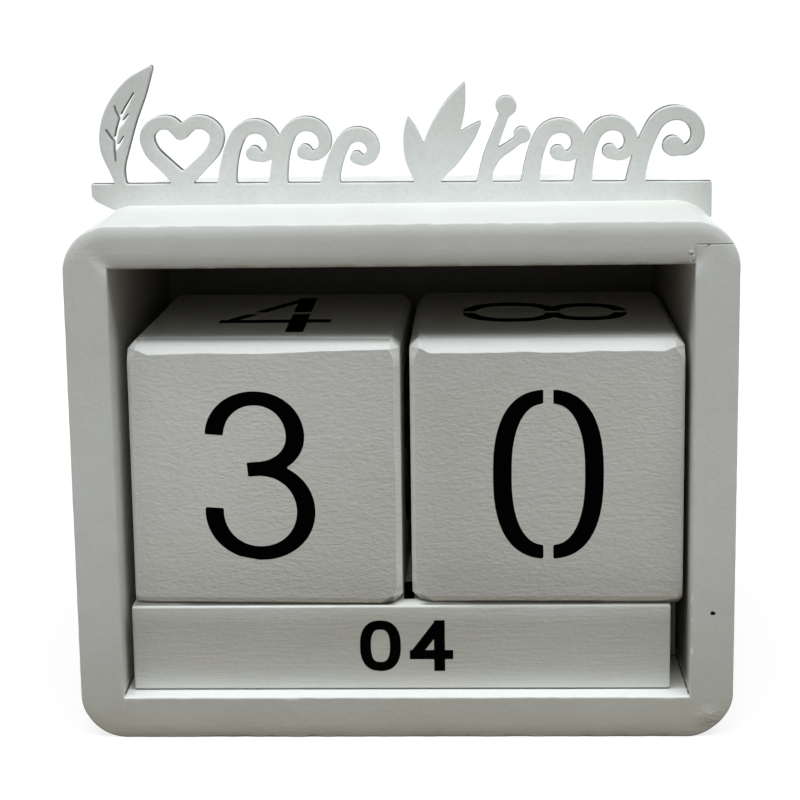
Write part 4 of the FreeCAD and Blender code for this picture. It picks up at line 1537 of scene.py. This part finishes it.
# --------------------------------------------------------------------------------------------
# Studio: pale floor, one wide soft light overhead and toward the front
# --------------------------------------------------------------------------------------------
floor_mesh = bpy.data.meshes.new("studio_floor")
S = 30.0
floor_mesh.from_pydata([(-S, -S, 0), (S, -S, 0), (S, S, 0), (-S, S, 0)], [], [(0, 1, 2, 3)])
floor = bpy.data.objects.new("studio_floor", floor_mesh)
bpy.context.scene.collection.objects.link(floor)
fm = Mat("studio_floor_pale")
b = fm.t.nodes.new("ShaderNodeBsdfPrincipled")
b.inputs["Base Color"].default_value = (0.22, 0.22, 0.22, 1.0)
b.inputs["Roughness"].default_value = 1.0
b.inputs["Specular IOR Level"].default_value = 0.0
b.inputs["Emission Color"].default_value = (1.0, 1.0, 1.0, 1.0)
b.inputs["Emission Strength"].default_value = 0.80
fm.put(fm.out.inputs["Surface"], b.outputs[0])
floor_mesh.materials.append(fm.m)
floor.visible_diffuse = False
floor.visible_glossy = False

world = bpy.data.worlds.new("studio")
bpy.context.scene.world = world
world.use_nodes = True
wt = world.node_tree
bg = wt.nodes["Background"]
wc = wt.nodes.new("ShaderNodeTexCoord")
ws = wt.nodes.new("ShaderNodeSeparateXYZ")
wt.links.new(wc.outputs["Generated"], ws.inputs[0])


def sky(stops):
    m = wt.nodes.new("ShaderNodeMapRange")
    m.inputs["From Min"].default_value = -1.0
    m.inputs["From Max"].default_value = 1.0
    wt.links.new(ws.outputs[2], m.inputs["Value"])
    r = wt.nodes.new("ShaderNodeValToRGB")
    wt.links.new(m.outputs["Result"], r.inputs[0])
    e = r.color_ramp.elements
    e[0].position, e[0].color = 0.0, (*stops[0][1], 1.0)
    e[1].position, e[1].color = 1.0, (*stops[-1][1], 1.0)
    for zz, c in stops[1:-1]:
        e.new((zz + 1) / 2).color = (*c, 1.0)
    return r.outputs[0]


# heights are sines of the elevation; the bright band is a wide soft panel above the front
ground = (0.018, 0.0155, 0.0115)
front_sky = sky([(-1.0, ground), (-0.02, ground), (0.03, (0.010, 0.010, 0.010)), (0.60, (0.020, 0.021, 0.021)),
                 (0.74, (0.050, 0.053, 0.053)), (0.80, (0.26, 0.27, 0.27)), (0.845, (0.84, 0.88, 0.875)), (0.87, (0.955, 1.0, 0.99)),
                 (0.915, (0.955, 1.0, 0.99)), (0.935, (0.62, 0.65, 0.645)), (0.955, (0.050, 0.053, 0.053)), (1.0, (0.030, 0.031, 0.031))])
back_sky = sky([(-1.0, ground), (-0.02, ground), (0.03, (0.026, 0.027, 0.027)), (1.0, (0.028, 0.029, 0.029))])
side = wt.nodes.new("ShaderNodeMapRange")
side.interpolation_type = "SMOOTHSTEP"
side.inputs["From Min"].default_value = 0.08
side.inputs["From Max"].default_value = -0.08
wt.links.new(ws.outputs[1], side.inputs["Value"])
both = wt.nodes.new("ShaderNodeMix")
both.data_type = "RGBA"
wt.links.new(side.outputs["Result"], both.inputs["Factor"])
wt.links.new(back_sky, both.inputs[6])
wt.links.new(front_sky, both.inputs[7])
wt.links.new(both.outputs[2], bg.inputs["Color"])
bg.inputs["Strength"].default_value = 8.45

rear = bpy.data.lights.new("rear_softbox", "AREA")
rear.shape = "RECTANGLE"
rear.size = 1.1
rear.size_y = 0.22
rear.color = (0.97, 1.0, 0.99)
rear.energy = 3.0
rear_ob = bpy.data.objects.new("rear_softbox", rear)
rear_ob.location = (0.0, 0.95, 0.12)
rear_ob.rotation_euler = (math.radians(-90), 0.0, 0.0)
rear_ob.visible_camera = False
bpy.context.scene.collection.objects.link(rear_ob)

light = bpy.data.lights.new("overhead_softbox", "AREA")
light.shape = "RECTANGLE"
light.size = 1.6
light.size_y = 0.26
light.color = (0.955, 1.0, 0.99)
light.energy = 0.95
lo = bpy.data.objects.new("overhead_softbox", light)
bpy.context.scene.collection.objects.link(lo)
elev = math.radians(63.0)
target = Vector((0.0, -0.02, 0.06))
lo.location = target + Vector((0.0, -math.cos(elev), math.sin(elev))) * 1.25
lo.rotation_euler = (target - lo.location).to_track_quat("-Z", "Y").to_euler()

# --------------------------------------------------------------------------------------------
# Camera at the photograph's viewing angle
# --------------------------------------------------------------------------------------------
yaw, pitch, roll = -0.03074, 0.16645, -0.01387
fwd = Vector((math.sin(yaw) * math.cos(pitch), math.cos(yaw) * math.cos(pitch), -math.sin(pitch)))
right = Vector((math.cos(yaw), -math.sin(yaw), 0.0))
up = right.cross(fwd)
r2 = math.cos(roll) * right + math.sin(roll) * up
u2 = -math.sin(roll) * right + math.cos(roll) * up
cam = bpy.data.cameras.new("camera")
cam.sensor_width = 36.0
cam.sensor_fit = "HORIZONTAL"
cam.lens = 81.75
cam.shift_x = 0.0
cam.shift_y = -0.15
cam.clip_start = 0.01
cam.clip_end = 100.0
co = bpy.data.objects.new("camera", cam)
bpy.context.scene.collection.objects.link(co)
m = Matrix((r2, u2, -fwd)).transposed().to_4x4()
m.translation = Vector((9.9556, -361.5217, 141.2353)) * MM
co.matrix_world = m
bpy.context.scene.camera = co

scene = bpy.context.scene
scene.view_settings.view_transform = "Standard"
scene.view_settings.look = "None"
scene.view_settings.exposure = 0.0
scene.view_settings.gamma = 1.0
